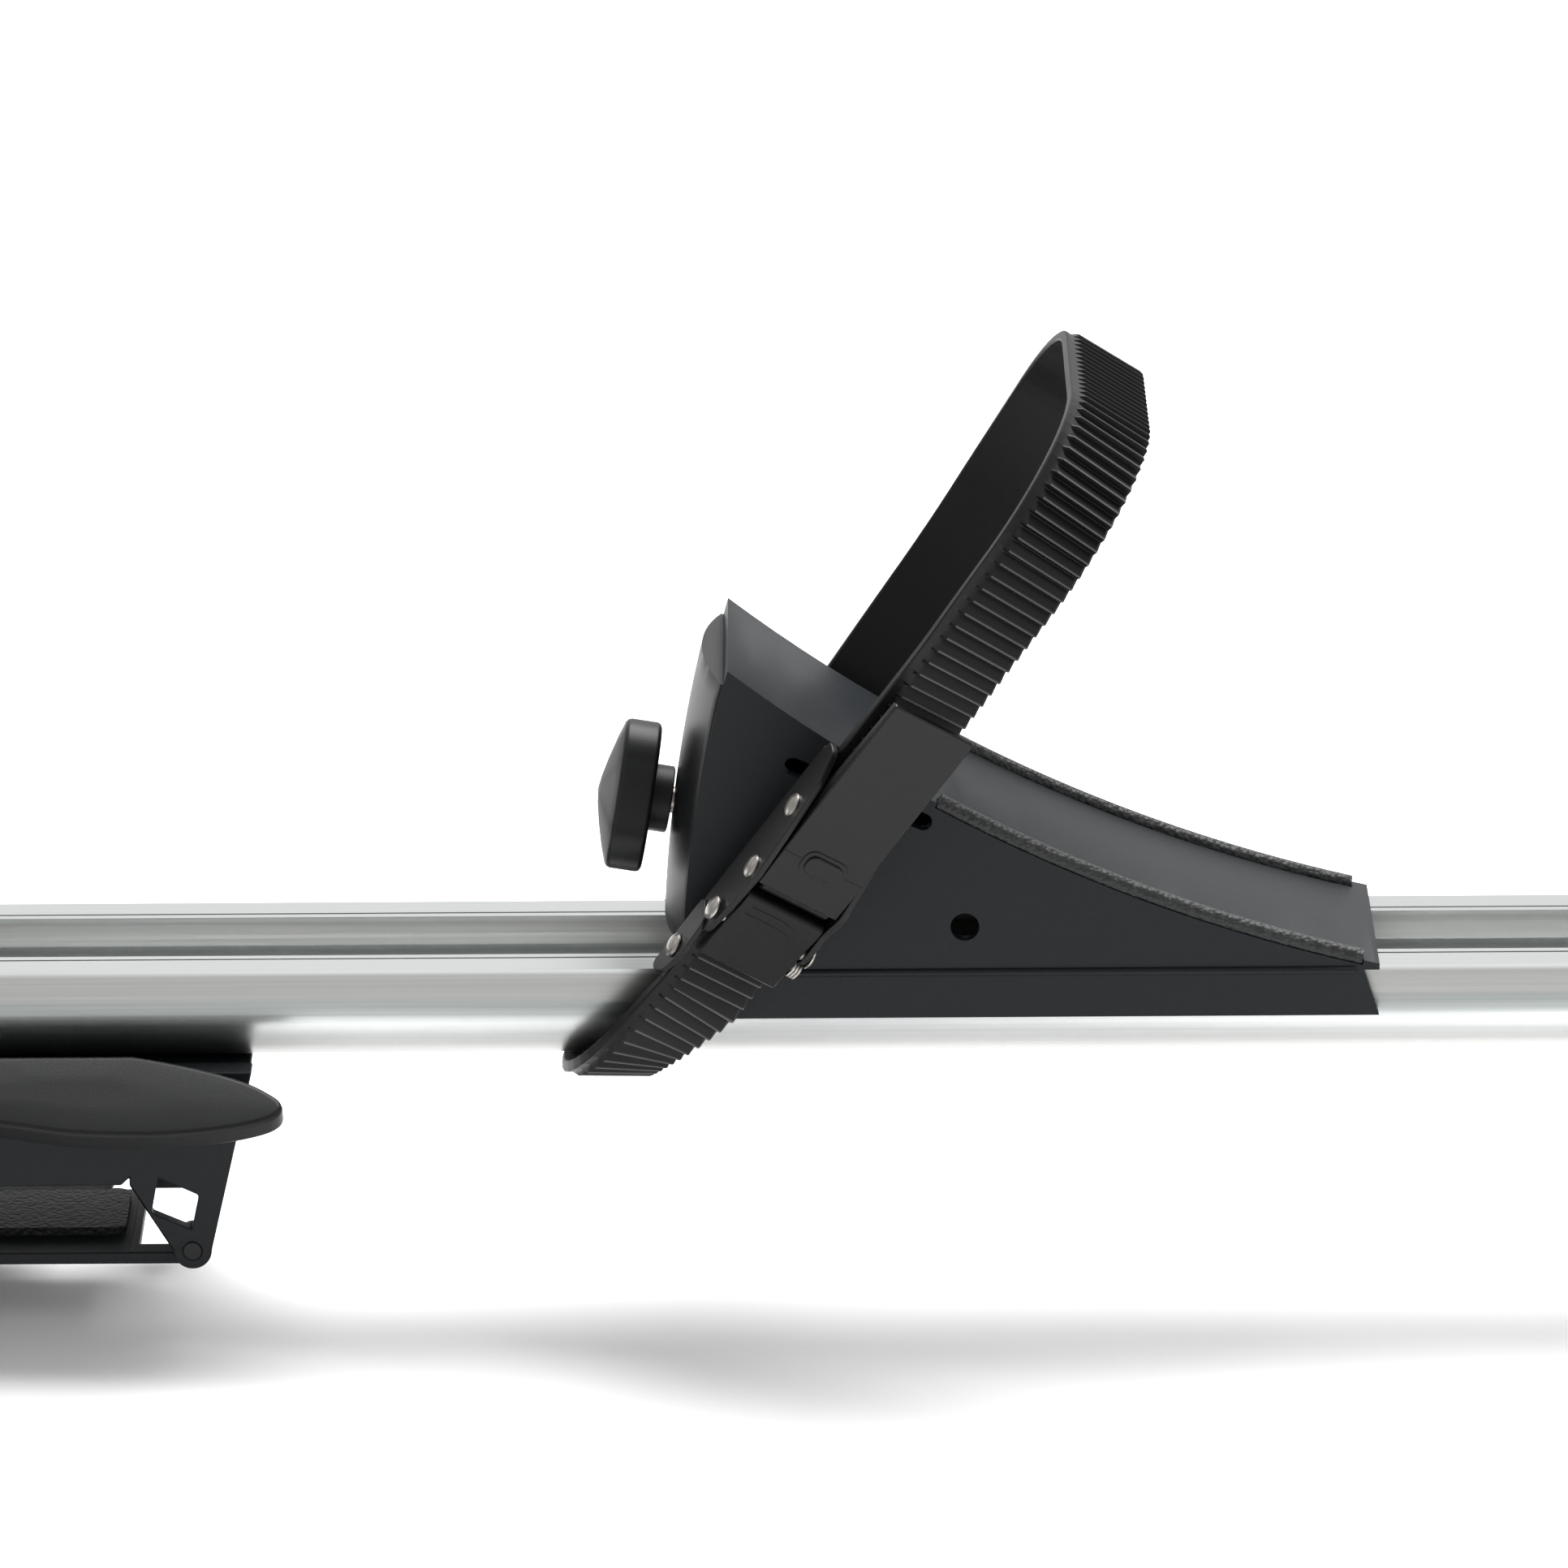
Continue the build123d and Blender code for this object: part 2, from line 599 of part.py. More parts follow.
def make_edging(radius):
    """Round soft beads let into both edges of the cradle, in front of the strap slots."""
    half = chock_width / 2
    slack = radius - edging_r
    start = asin((slack - slot_x - slot_length / 2) / cradle_r)
    finish = asin((2 * edging_r - slack - chock_front) / cradle_r)
    reach = 2 * cradle_r
    sector = flat((0, wheel_centre_height),
                  (-reach * sin(start), wheel_centre_height - reach * cos(start)),
                  (-reach * sin(finish), wheel_centre_height - reach * cos(finish)))
    pieces = []
    for side in (-half + edging_r, half - edging_r):
        ring = Pos(0, side, wheel_centre_height) * Rot(90, 0, 0) * Torus(cradle_r, radius)
        pieces.append(ring & side_cut(sector, side - cut, side + cut))
    return group(pieces)


def make_knob():
    """Three lobed hand knob with a crowned face and a round stem."""
    points = []
    for lobe in range(knob_lobes):
        middle = knob_turn + lobe * 360 / knob_lobes
        for turn, share in knob_lobe_shares:
            angle = radians(middle + turn)
            points.append((knob_r * share * sin(angle), knob_r * share * cos(angle)))
    star = flat(*points)
    star = fillet(star.vertices(), knob_r / 4)
    height = 1.4 * knob_thick
    head = screw_plane(knob_stand_off) * extrude(star, amount=height)
    crown_r = 2.7 * knob_r
    head &= screw_plane(knob_stand_off + height - crown_r) * Sphere(crown_r)
    knob = head + screw_plane(2 * gap) * extrude(Circle(knob_stem_r), amount=knob_stand_off)
    knob -= screw_plane(0) * extrude(Circle(chock_screw_r + running),
                                     amount=knob_stand_off + knob_thick / 2)
    return knob


def make_chock_screw():
    """Clamping screw: held in the knob, its tip pushes the rocker."""
    reach = chock_screw_reach + knob_stand_off + knob_thick / 2 - gap
    return screw_plane(-chock_screw_reach) * extrude(Circle(chock_screw_r), amount=reach)


def make_rocker():
    """Rocker whose upper arm the screw pushes, and whose foot grips under the lips."""
    half = rocker_neck / 2
    hub_r = rocker_pin_r + rocker_arm * 0.8
    rocker = rod_y(rocker_x, rocker_z, hub_r, -half, half)
    face = rocker_x - 1.15 * rocker_arm
    rocker += block(face, face + rocker_arm, -half, half, rocker_z, rocker_z + 3.2 * rocker_arm)
    left = rocker_x - 3 * rocker_arm
    right = rocker_x - rocker_arm / 2
    foot_top = -lip_return - gap
    rocker += block(left, right, -half, half, foot_top - gap, rocker_z - rocker_arm / 2)
    foot_half = rocker_foot_width / 2
    rocker += block(left - rocker_arm / 3, right, -foot_half, foot_half, foot_top - rocker_foot_thick,
                    foot_top)
    rocker -= rod_y(rocker_x, rocker_z, rocker_pin_r + running, -half - gap, half + gap)
    return rocker


def make_rocker_pin():
    """Pin of the rocker, seated in blind holes in both side walls."""
    half = (chock_width - chock_wall) / 2
    return rod_y(rocker_x, rocker_z, rocker_pin_r, -half, half)


# Strap and buckle


def strap_directions():
    """Unit vectors: out from the wheel's centre, along the cradle, and the near run's width."""
    fall = radians(strap_angle)
    skew = radians(strap_skew)
    out = Vector(-cos(fall), 0, -sin(fall))
    along = Vector(sin(fall), 0, -cos(fall))
    width = along * cos(skew) + Vector(0, 1, 0) * sin(skew)
    return out, along, width


def near_run():
    """Upper end and unit direction of the straight run that carries the buckle."""
    out, along, _ = strap_directions()
    skew = radians(strap_skew)
    across = Vector(0, 1, 0) * cos(skew) - along * sin(skew)
    belly = Vector(0, -strap_belly_half, wheel_centre_height) + out * (cradle_r - strap_belly_in)
    return belly, (out + across * strap_narrowing).normalized()


def buckle_frame():
    """Plane on the strap's outer face: x down along the strap, y across it, z outward."""
    belly, down = near_run()
    width = strap_directions()[2]
    return Plane(origin=belly + down * buckle_along, x_dir=down, z_dir=down.cross(width))


def strap_corners():
    """Corners of the strap's outer face in order: place, radius and the direction of its width."""
    out, along, width = strap_directions()
    belly, down = near_run()
    side = Vector(0, 1, 0)
    near_down, near_side = strap_near_tilt_shares
    far_down, far_side = strap_far_tilt_shares
    level = -rail_height - strap_under - strap_thick
    near_low = belly + down * ((level - belly.Z) / down.Z) - Vector(strap_sweep, 0, 0)
    far_low = Vector(near_low.X + strap_bottom_lead, -near_low.Y, level)
    centre = Vector(0, 0, wheel_centre_height)
    far_belly = centre + out * (cradle_r - strap_belly_in) + along * strap_far_lead
    crown = centre + out * (cradle_r - strap_crown_in) + along * strap_crown_lead
    under = Vector(1, near_side, -near_down)
    under_far = Vector(1, far_side, -far_down)
    lower = belly + down * (buckle_along + strap_rivet_along + strap_width / 2)
    return [
        (lower, 0, width), (near_low, strap_corner_low, under), (far_low, strap_corner_low, under_far),
        (far_belly + side * strap_belly_half, strap_corner_side, along - side * strap_lean_share),
        (crown + side * strap_crown_far, strap_corner_top, along),
        (crown - side * strap_crown_near, strap_corner_near, along + side * strap_lean_share),
        (belly, strap_corner_side, width),
    ]


def strap_stations():
    """Points along the outer face, with the width's direction there: arcs at the corners, and
    even steps on the straight runs between them, over which the width turns."""
    belly, down = near_run()
    width = strap_directions()[2]
    start = belly + down * (buckle_along + strap_rivet_along / 4)
    finish = belly + down * buckle_along
    corners = strap_corners()
    places = [start] + [corner[0] for corner in corners] + [finish]
    stations = [(start, width)]
    for before, (place, radius, turn), after in zip(places, corners, places[2:]):
        to_start = (before - place).normalized()
        to_end = (after - place).normalized()
        half = radians(to_start.get_angle(to_end)) / 2
        reach = radius / tan(half)
        arc = [place]
        if radius:
            middle = (to_start + to_end).normalized() * (radius / sin(half))
            first = (to_start * reach - middle).normalized()
            last = (to_end * reach - middle).normalized()
            sweep = radians(first.get_angle(last))
            arc = []
            for step in range(strap_arc_steps + 1):
                share = step / strap_arc_steps
                spoke = (first * sin((1 - share) * sweep) + last * sin(share * sweep)) / sin(sweep)
                arc.append(place + middle + spoke * radius)
        stations += straight_run(stations[-1], (arc[0], turn)) + [(point, turn) for point in arc]
    return stations + straight_run(stations[-1], (finish, width)) + [(finish, width)]


def straight_run(start, finish):
    """Even steps between two stations, without the stations themselves."""
    length = (finish[0] - start[0]).length
    count = int(length / strap_step)
    shares = [step / (count + 1) for step in range(1, count + 1)]
    return [(start[0] * (1 - share) + finish[0] * share, start[1] * (1 - share) + finish[1] * share)
            for share in shares]


def make_strap():
    """Strap in a loop round rail and wheel, both of its ends inside the buckle."""
    stations = strap_stations()
    places = [place for place, turn in stations]
    rows = []
    for index, (place, turn) in enumerate(stations):
        ahead = places[min(index + 1, len(places) - 1)]
        behind = places[max(index - 1, 0)]
        tangent = (ahead - behind).normalized()
        width = (turn - tangent * turn.dot(tangent)).normalized() * (strap_width / 2)
        inward = tangent.cross(width).normalized() * -strap_thick
        rows.append((place - width, place + width, place + width + inward, place - width + inward))
    edges = [Edge.make_spline([row[corner] for row in rows]) for corner in range(4)]
    sides = [Face.make_surface_from_curves(edges[i], edges[(i + 1) % 4]) for i in range(4)]
    ends = [Face(Wire.make_polygon(row, close=True)) for row in (rows[0], rows[-1])]
    return Solid(Shell(sides + ends)).fix()


def make_buckle_base():
    """Channel under the strap: floor, two side walls with pin holes, and a riveted ear."""
    half_in = buckle_inner / 2
    half_out = half_in + buckle_wall
    low = -strap_thick - gap - buckle_floor
    base = block(buckle_top, buckle_end, -half_out, half_out, low, low + buckle_floor)
    high = buckle_pin_up + 1.6 * rivet_head_r
    wall = flat((buckle_top, low), (buckle_end, low), (buckle_end, 0.4 * high),
                (pawl_pin_along + 2 * rivet_head_r, 0.9 * high), (lever_pin_along, high),
                (lever_pin_along - 3 * rivet_head_r, 0.8 * high), (buckle_top, 0.1 * high))
    for y_low in (-half_out, half_in):
        base += side_cut(wall, y_low, y_low + buckle_wall)
    ear_end = strap_rivet_along + 2 * rivet_head_r
    ear = flat((buckle_end, low), (ear_end, low), (ear_end, 0.1 * high), (buckle_end, 0.4 * high))
    base += side_cut(ear, -half_out, -half_in)
    for along in (lever_pin_along, pawl_pin_along):
        base -= rod_y(along, buckle_pin_up, buckle_pin_r + running, -cut, cut)
    base -= rod_y(strap_rivet_along, -strap_thick / 2, buckle_pin_r + running, -half_out - gap, 0)
    return base


def make_buckle_lever():
    """Ratchet lever: a plate with turned sides over the strap, hinged near its lower end."""
    half = buckle_inner / 2 - gap
    low = ratchet_lever_up - ratchet_lever_thick
    plate = block(ratchet_lever_back, lever_pin_along, -half, half, low, ratchet_lever_up)
    top_edge = plate.edges().filter_by(Axis.Y).sort_by(Axis.X)[:2].sort_by(Axis.Z)[-1:]
    plate = chamfer(top_edge, ratchet_lever_thick * 0.6)
    barrel_r = ratchet_lever_up - buckle_pin_up
    cheek = flat((ratchet_lever_back + 2 * ratchet_lever_thick, low),
                 (lever_pin_along - 2 * barrel_r, buckle_pin_up - barrel_r + gap),
                 (lever_pin_along, buckle_pin_up - barrel_r + gap), (lever_pin_along, low))
    for y_low in (-half, half - buckle_wall):
        plate += side_cut(cheek, y_low, y_low + buckle_wall)
    plate += rod_y(lever_pin_along, buckle_pin_up, barrel_r, -half, half)
    nub = Pos(lever_pin_along - nub_length, 0, ratchet_lever_up) * Box(
        nub_length * 0.45, nub_length, 2 * gap)
    plate += fillet(nub.edges().filter_by(Axis.Z), nub_length / 6)
    plate -= rod_y(lever_pin_along, buckle_pin_up, buckle_pin_r + running, -cut, cut)
    return plate


def make_release_plate():
    """Plate below the lever that lifts the ratchet's pawl off the strap."""
    half = buckle_inner / 2 - gap
    barrel_r = ratchet_lever_up - buckle_pin_up
    start = lever_pin_along + barrel_r + 2 * gap
    low = buckle_pin_up - buckle_pin_r - 3 * gap
    high = ratchet_lever_up - buckle_wall / 2
    profile = flat((start, low + 4 * gap), (start, high - gap), (start + 4 * gap, high),
                   (pawl_end, high - buckle_wall), (pawl_end, low), (start + 4 * gap, low))
    plate = side_cut(profile, -half, half)
    plate -= rod_y(pawl_pin_along, buckle_pin_up, buckle_pin_r + running, -cut, cut)
    return plate


def make_buckle_rivets():
    """Lever rivet, release plate rivet and strap rivet, with thin heads."""
    half = buckle_inner / 2 + buckle_wall
    pieces = []
    for along in (lever_pin_along, pawl_pin_along):
        rivet = rod_y(along, buckle_pin_up, buckle_pin_r, -half, half)
        rivet += rod_y(along, buckle_pin_up, 0.85 * rivet_head_r, -half - rivet_head, -half)
        rivet += rod_y(along, buckle_pin_up, 0.85 * rivet_head_r, half, half + rivet_head)
        pieces.append(rivet)
    side = rod_y(strap_rivet_along, -strap_thick / 2, buckle_pin_r, -half, -half + buckle_wall)
    side += rod_y(strap_rivet_along, -strap_thick / 2, 0.85 * rivet_head_r, -half - rivet_head, -half)
    pieces.append(side)
    return group(pieces)


# Frame arm, built upright about its pivot


def place_arm(piece):
    """Move a piece of the arm to its pivot and lean it towards the rear."""
    return Pos(arm_x, 0, rail_top + arm_pivot_up) * Rot(0, -arm_lean, 0) * piece


def make_arm_base():
    """Saddle over the rail with two cheeks for the pivot pin."""
    half = rail_width / 2 + gap + base_cheek
    pivot_z = rail_top + arm_pivot_up
    start = arm_x - base_length / 2
    floor = rail_top + base_floor
    base = block(start, start + base_length, -half, half, rail_top - base_skirt, floor)
    base -= block(start - gap, start + base_length + gap, -half + base_cheek, half - base_cheek,
                  rail_top - base_skirt - gap, rail_top)
    inner = arm_tube_width / 2 + gap
    side = flat((arm_x - 0.42 * base_length, floor), (arm_x + 0.42 * base_length, floor),
                (arm_x + knuckle_r, pivot_z), (arm_x - knuckle_r, pivot_z))
    for y_low in (-inner - base_cheek, inner):
        base += side_cut(side, y_low, y_low + base_cheek)
        base += rod_y(arm_x, pivot_z, knuckle_r, y_low, y_low + base_cheek)
    base -= rod_y(arm_x, pivot_z, arm_pin_r + running, -cut, cut)
    for at in (-0.4, 0.4):
        base -= rod_z(arm_x + at * base_length, 0, screw_r + gap, rail_top - gap, rail_top + cut)
    return base


def make_base_screws():
    """Two screws through the rail's slot into flat nuts under the lips."""
    pieces = []
    floor = rail_top + base_floor
    half = slot_gap / 2 + 2 * rail_wall
    for at in (-0.4, 0.4):
        x = arm_x + at * base_length
        screw = rod_z(x, 0, screw_head_r, floor, floor + screw_head)
        socket = extrude(RegularPolygon(0.5 * screw_head_r, 6), amount=screw_head / 2, both=True)
        screw -= Pos(x, 0, floor + screw_head) * socket
        screw += rod_z(x, 0, screw_r, lip_under - rail_nut_thick, floor)
        nut = block(x - rail_nut / 2, x + rail_nut / 2, -half, half, lip_under - rail_nut_thick,
                    lip_under)
        nut -= rod_z(x, 0, screw_r, lip_under - 2 * rail_nut_thick, lip_under + gap)
        pieces += [screw, nut]
    return group(pieces)


def make_arm_pin():
    """Headed pin through the base and the arm's knuckle."""
    reach = arm_tube_width / 2 + gap + base_cheek
    pin = rod_y(arm_x, rail_top + arm_pivot_up, arm_pin_r, -reach, reach)
    head = rod_y(arm_x, rail_top + arm_pivot_up, 1.6 * arm_pin_r, -reach - arm_pin_r / 2, -reach)
    ring = rod_y(arm_x, rail_top + arm_pivot_up, 1.5 * arm_pin_r, reach, reach + arm_pin_r / 3)
    return pin + head + ring


def make_knuckle():
    """Cast lower end of the arm: an eye for the pin and a spigot inside the tube."""
    half = arm_tube_width / 2
    eye = rod_y(0, 0, knuckle_r, -half, half)
    eye += block(-knuckle_r, knuckle_r, -half, half, 0, knuckle_length)
    inset = arm_tube_wall + running
    spigot = RectangleRounded(arm_tube_depth - 2 * inset, arm_tube_width - 2 * inset,
                              arm_tube_round - inset)
    eye += Pos(0, 0, knuckle_length) * extrude(spigot, amount=knuckle_spigot)
    eye -= rod_y(0, 0, arm_pin_r + running, -cut, cut)
    return place_arm(eye)


def make_arm_tube():
    """Rounded rectangular tube from the knuckle to the clamp head."""
    outer = RectangleRounded(arm_tube_depth, arm_tube_width, arm_tube_round)
    inner = RectangleRounded(arm_tube_depth - 2 * arm_tube_wall, arm_tube_width - 2 * arm_tube_wall,
                             arm_tube_round - arm_tube_wall)
    length = arm_reach - knuckle_length
    return place_arm(Pos(0, 0, knuckle_length) * extrude(outer - inner, amount=length))


def make_head():
    """Clamp head on the tube's end, with the fixed claw and two ears for the swinging one."""
    half = head_width / 2
    depth = head_depth / 2
    top = arm_reach + head_length
    head = block(-depth, depth, -half, half, arm_reach, top)
    head = fillet(head.edges().filter_by(Axis.Z), depth / 3)
    inset = arm_tube_wall + running
    spigot = RectangleRounded(arm_tube_depth - 2 * inset, arm_tube_width - 2 * inset,
                              arm_tube_round - inset)
    head += Pos(0, 0, arm_reach - knuckle_spigot) * extrude(spigot, amount=knuckle_spigot)
    claw_half = claw_width / 2
    inner = claw_gap / 2 + claw_pad
    claw = block(-claw_half, claw_half, inner, inner + claw_thick, top - claw_thick, top + claw_height)
    head += fillet(claw.edges().filter_by(Axis.Y).sort_by(Axis.Z)[-2:], claw_half / 2)
    hinge_y = -inner - claw_thick / 2
    hinge_z = arm_reach + claw_pin_up
    head -= block(-claw_half - gap, claw_half + gap, -half - claw_thick, -inner + claw_pad,
                  hinge_z - 2 * claw_pin_r - 2 * gap, top + cut)
    ear_r = claw_thick / 2 + 2 * gap
    for x_low, x_high in ((-depth, -claw_half - gap), (claw_half + gap, depth)):
        head += end_cut(Pos(hinge_y, hinge_z) * Circle(ear_r), x_low, x_high)
    head -= end_cut(Pos(hinge_y, hinge_z) * Circle(claw_pin_r + running), -head_depth, head_depth)
    head -= rod_y(0, arm_reach + spindle_up, spindle_r + running, inner - gap, cut)
    return place_arm(head)


def make_swing_claw():
    """Claw hinged in the head's ears, with a slotted hole for the spindle."""
    claw_half = claw_width / 2
    inner = claw_gap / 2 + claw_pad
    hinge_y = -inner - claw_thick / 2
    hinge_z = arm_reach + claw_pin_up
    top = arm_reach + head_length + claw_height
    claw = block(-claw_half, claw_half, -inner - claw_thick, -inner, hinge_z, top)
    claw = fillet(claw.edges().filter_by(Axis.Y).sort_by(Axis.Z)[-2:], claw_half / 2)
    claw += end_cut(Pos(hinge_y, hinge_z) * Circle(claw_thick / 2), -claw_half, claw_half)
    claw -= end_cut(Pos(hinge_y, hinge_z) * Circle(claw_pin_r + running), -claw_width, claw_width)
    hole = SlotOverall(6 * spindle_r, 3 * spindle_r, rotation=90)
    claw -= side_cut(Pos(0, arm_reach + spindle_up) * hole, -cut, 0)
    return place_arm(claw)


def make_claw_pin():
    """Hinge pin of the swinging claw."""
    hinge_y = -claw_gap / 2 - claw_pad - claw_thick / 2
    place = Pos(0, hinge_y, arm_reach + claw_pin_up) * Rot(0, 90, 0)
    return place_arm(place * Cylinder(claw_pin_r, head_depth))


def make_claw_pad(side):
    """Rubber pad with a shallow groove for the frame tube."""
    half = (claw_width - claw_pad) / 2
    inner = claw_gap / 2
    low = arm_reach + spindle_up + 3 * spindle_r
    top = arm_reach + head_length + claw_height - claw_pad
    y_low, y_high = sorted((side * (inner + claw_pad), side * inner))
    pad = block(-half, half, y_low, y_high, low, top)
    groove_at = Pos(0, side * (inner - 3 * claw_pad), (low + top) / 2) * Rot(0, 90, 0)
    pad -= groove_at * Cylinder(3.5 * claw_pad, 2 * claw_width)
    return place_arm(pad)


def make_spindle():
    """Threaded spindle through both claws, its tip in the fixed one."""
    inner = claw_gap / 2 + claw_pad
    outer = inner + claw_thick + claw_pad
    spindle_z = arm_reach + spindle_up
    spindle = rod_y(0, spindle_z, spindle_r, -outer - head_knob_thick / 2,
                    inner + claw_thick + claw_pad)
    spindle += rod_y(0, spindle_z, 2.2 * spindle_r, gap - outer, -inner - claw_thick - gap)
    return place_arm(spindle)


def make_head_knob():
    """Large lobed knob on the spindle's near end."""
    start = -claw_gap / 2 - 2 * claw_pad - claw_thick
    spindle_z = arm_reach + spindle_up
    knob = rod_y(0, spindle_z, head_knob_r, start - head_knob_thick, start)
    for lobe in range(6):
        angle = radians(60 * lobe)
        reach = 1.12 * head_knob_r
        knob -= rod_y(reach * cos(angle), spindle_z + reach * sin(angle), head_knob_r / 4,
                      start - 2 * head_knob_thick, start + gap)
    knob -= rod_y(0, spindle_z, spindle_r + running, start - head_knob_thick / 2, start + gap)
    return place_arm(knob)


def save(piece, node):
    """Write one node's solids."""
    export_step(piece, os.path.join("parts", node + ".step"))


def main():
    save(make_rail(), "rail")
    save(make_end_cap(rail_front, 1), "front_end_cap")
    save(make_end_cap(rail_front - rail_length, -1), "rear_end_cap")

    foot_pieces = {
        "foot_body": make_foot_body(), "foot_seat_pad": make_seat_pad(),
        "foot_screws": make_foot_screws(), "jaw": make_jaw(), "jaw_pad": make_jaw_pad(),
        "jaw_pin": make_jaw_pin(), "quick_lever": make_lever(), "cam_shaft": make_cam_shaft(),
        "tension_bolt": make_tension_bolt(), "height_nut": make_height_nut(),
    }
    for name, piece in foot_pieces.items():
        save(piece, "front_" + name)
        save(Pos(rear_foot_at, 0, 0) * piece, "rear_" + name)

    bench = buckle_frame()
    chock_pieces = {
        "chock_shell": make_shell(), "chock_end_cover": make_end_cover(),
        "chock_edging": make_edging(edging_r), "chock_knob": make_knob(),
        "chock_screw": make_chock_screw(),
        "clamp_rocker": make_rocker(), "rocker_pin": make_rocker_pin(), "strap": make_strap(),
        "buckle_base": bench * make_buckle_base(), "buckle_lever": bench * make_buckle_lever(),
        "release_plate": bench * make_release_plate(), "buckle_rivets": bench * make_buckle_rivets(),
    }
    for name, piece in chock_pieces.items():
        for end, place in wheel_places.items():
            save(Pos(place, 0, rail_top) * piece, end + "_" + name)

    arm_pieces = {
        "arm_base": make_arm_base(), "arm_base_screws": make_base_screws(),
        "arm_pivot_pin": make_arm_pin(), "arm_knuckle": make_knuckle(), "arm_tube": make_arm_tube(),
        "clamp_head": make_head(), "swing_claw": make_swing_claw(), "claw_pin": make_claw_pin(),
        "fixed_claw_pad": make_claw_pad(1), "swing_claw_pad": make_claw_pad(-1),
        "clamp_spindle": make_spindle(), "clamp_knob": make_head_knob(),
    }
    for name, piece in arm_pieces.items():
        save(piece, name)


main()
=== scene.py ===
"""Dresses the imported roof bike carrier: ribbed straps, ratchet buckles, moulded plastic and
anodised rail. Lengths are millimetres until a mesh is made; the frame and the finished meshes are
in metres."""

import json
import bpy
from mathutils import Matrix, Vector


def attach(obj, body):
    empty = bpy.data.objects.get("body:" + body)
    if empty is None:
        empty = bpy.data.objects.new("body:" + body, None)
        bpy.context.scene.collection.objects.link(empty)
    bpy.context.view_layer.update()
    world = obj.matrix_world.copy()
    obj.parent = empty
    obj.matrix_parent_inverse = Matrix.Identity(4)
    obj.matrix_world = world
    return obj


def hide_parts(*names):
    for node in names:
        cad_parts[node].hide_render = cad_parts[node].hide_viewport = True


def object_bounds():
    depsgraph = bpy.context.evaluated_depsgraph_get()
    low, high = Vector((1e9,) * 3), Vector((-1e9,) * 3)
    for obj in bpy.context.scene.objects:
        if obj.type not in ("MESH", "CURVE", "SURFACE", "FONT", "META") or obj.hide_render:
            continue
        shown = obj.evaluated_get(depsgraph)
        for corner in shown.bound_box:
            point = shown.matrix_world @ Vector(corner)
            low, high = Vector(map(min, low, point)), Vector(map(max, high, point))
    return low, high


bl_info = {
    "name": "Roof mounted bike carrier",
    "version": (1, 0, 0),
    "blender": (4, 5, 0),
    "location": "View3D > Sidebar > Carrier",
    "description": "Builds the looks of a roof mounted bike carrier around its packed CAD frame",
    "category": "Object",
}

from math import cos, pi, radians, sin

import bpy
import numpy as np
from mathutils import Matrix

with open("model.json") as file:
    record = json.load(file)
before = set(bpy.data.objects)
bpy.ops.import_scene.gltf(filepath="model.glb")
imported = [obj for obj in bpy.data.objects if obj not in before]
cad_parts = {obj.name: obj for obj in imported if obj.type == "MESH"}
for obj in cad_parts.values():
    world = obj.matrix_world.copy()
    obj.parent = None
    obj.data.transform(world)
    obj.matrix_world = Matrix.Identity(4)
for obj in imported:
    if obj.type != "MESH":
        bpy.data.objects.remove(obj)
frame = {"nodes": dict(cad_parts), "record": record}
cad_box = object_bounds()

MM = 0.001
X, Y, Z = np.eye(3)

# Where the CAD puts things: the centre that a chock's cradle curves about is measured from the
# front foot and the rail's top, and each rear piece from its front one
RAIL_TOP = 50.0
CRADLE_X = 406.0
CRADLE_UP = 356.2
FOOT_AT = {"front": 0.0, "rear": -650.0}
CHOCK_AT = {"front": 0.0, "rear": -1100.0}

# Strap loop: how steeply its plane falls to the rear, how far it is skewed, and how fast the near
# run closes in on the rail
STRAP_FALL = radians(57.8)
STRAP_SKEW = radians(13.0)
STRAP_NARROWING = 0.197
# Run under the rail: its height, how far its near corner lies back, and the far one's lead
STRAP_LEVEL = 20.5
STRAP_SWEEP = 6.0
STRAP_LEAD = 7.0
# Widest corners: how far out from the cradle's centre, to each side, and the far one's lead
BELLY_OUT = 330.0
BELLY_SIDE = 52.6
BELLY_LEAD = 5.0
# Corners at the top of the loop: out from the cradle's centre, to each side, and their lead
CROWN_OUT = 268.0
CROWN_NEAR = 56.0
CROWN_FAR = 44.0
CROWN_LEAD = 2.5
# Radii of the corners
LOW_ROUND = 24.0
BELLY_ROUND = 90.0
CROWN_NEAR_ROUND = 34.0
CROWN_FAR_ROUND = 26.0
# How far the band leans at the top, and how it tilts under the rail
STRAP_LEAN = 0.1
NEAR_LOW_WIDTH = np.array([1.0, 0.33, -0.13])
FAR_LOW_WIDTH = np.array([1.0, 0.3, -0.1])
# Buckle: its place down the near run, the gap between the loop's ends in it, and its straight run
BUCKLE_ALONG = 41.79
STRAP_GAP = 12.25
BUCKLE_RUN = 59.0

# One rib along the strap: shares of the pitch, and the shares of its height that it has there
RIB_CUTS = np.array([0.0, 0.7, 0.78, 0.95])
RIB_LEVELS = np.array([0.0, 0.95, 1.0, 0.05])
RIB_CREASE = 25.0
# Across the strap: a smooth low band beside one edge, a ramp up to the ribs, and cut corners
BAND_SHARE = 0.42
BAND_WIDTH = 1.9
RAMP_END = 3.3
STRAP_CORNER = 0.4
# Half the stretch over which the strap's direction is taken
AIM_REACH = 0.8

# Buckle: pins down the strap from the buckle's place and over the strap's outer face, how far
# plates and rivets lie out from the strap's middle line, and how far its floor lies under that face
HINGE_ALONG = 20.0
RELEASE_ALONG = 34.0
PIN_OVER = 4.2
PLATE_THICK = 1.5
SIDE_OUT = 11.35
RIVET_OUT = 12.1
SHANK_R = 1.55
FLOOR_UNDER = 5.2
EAR_OUT = 12.2
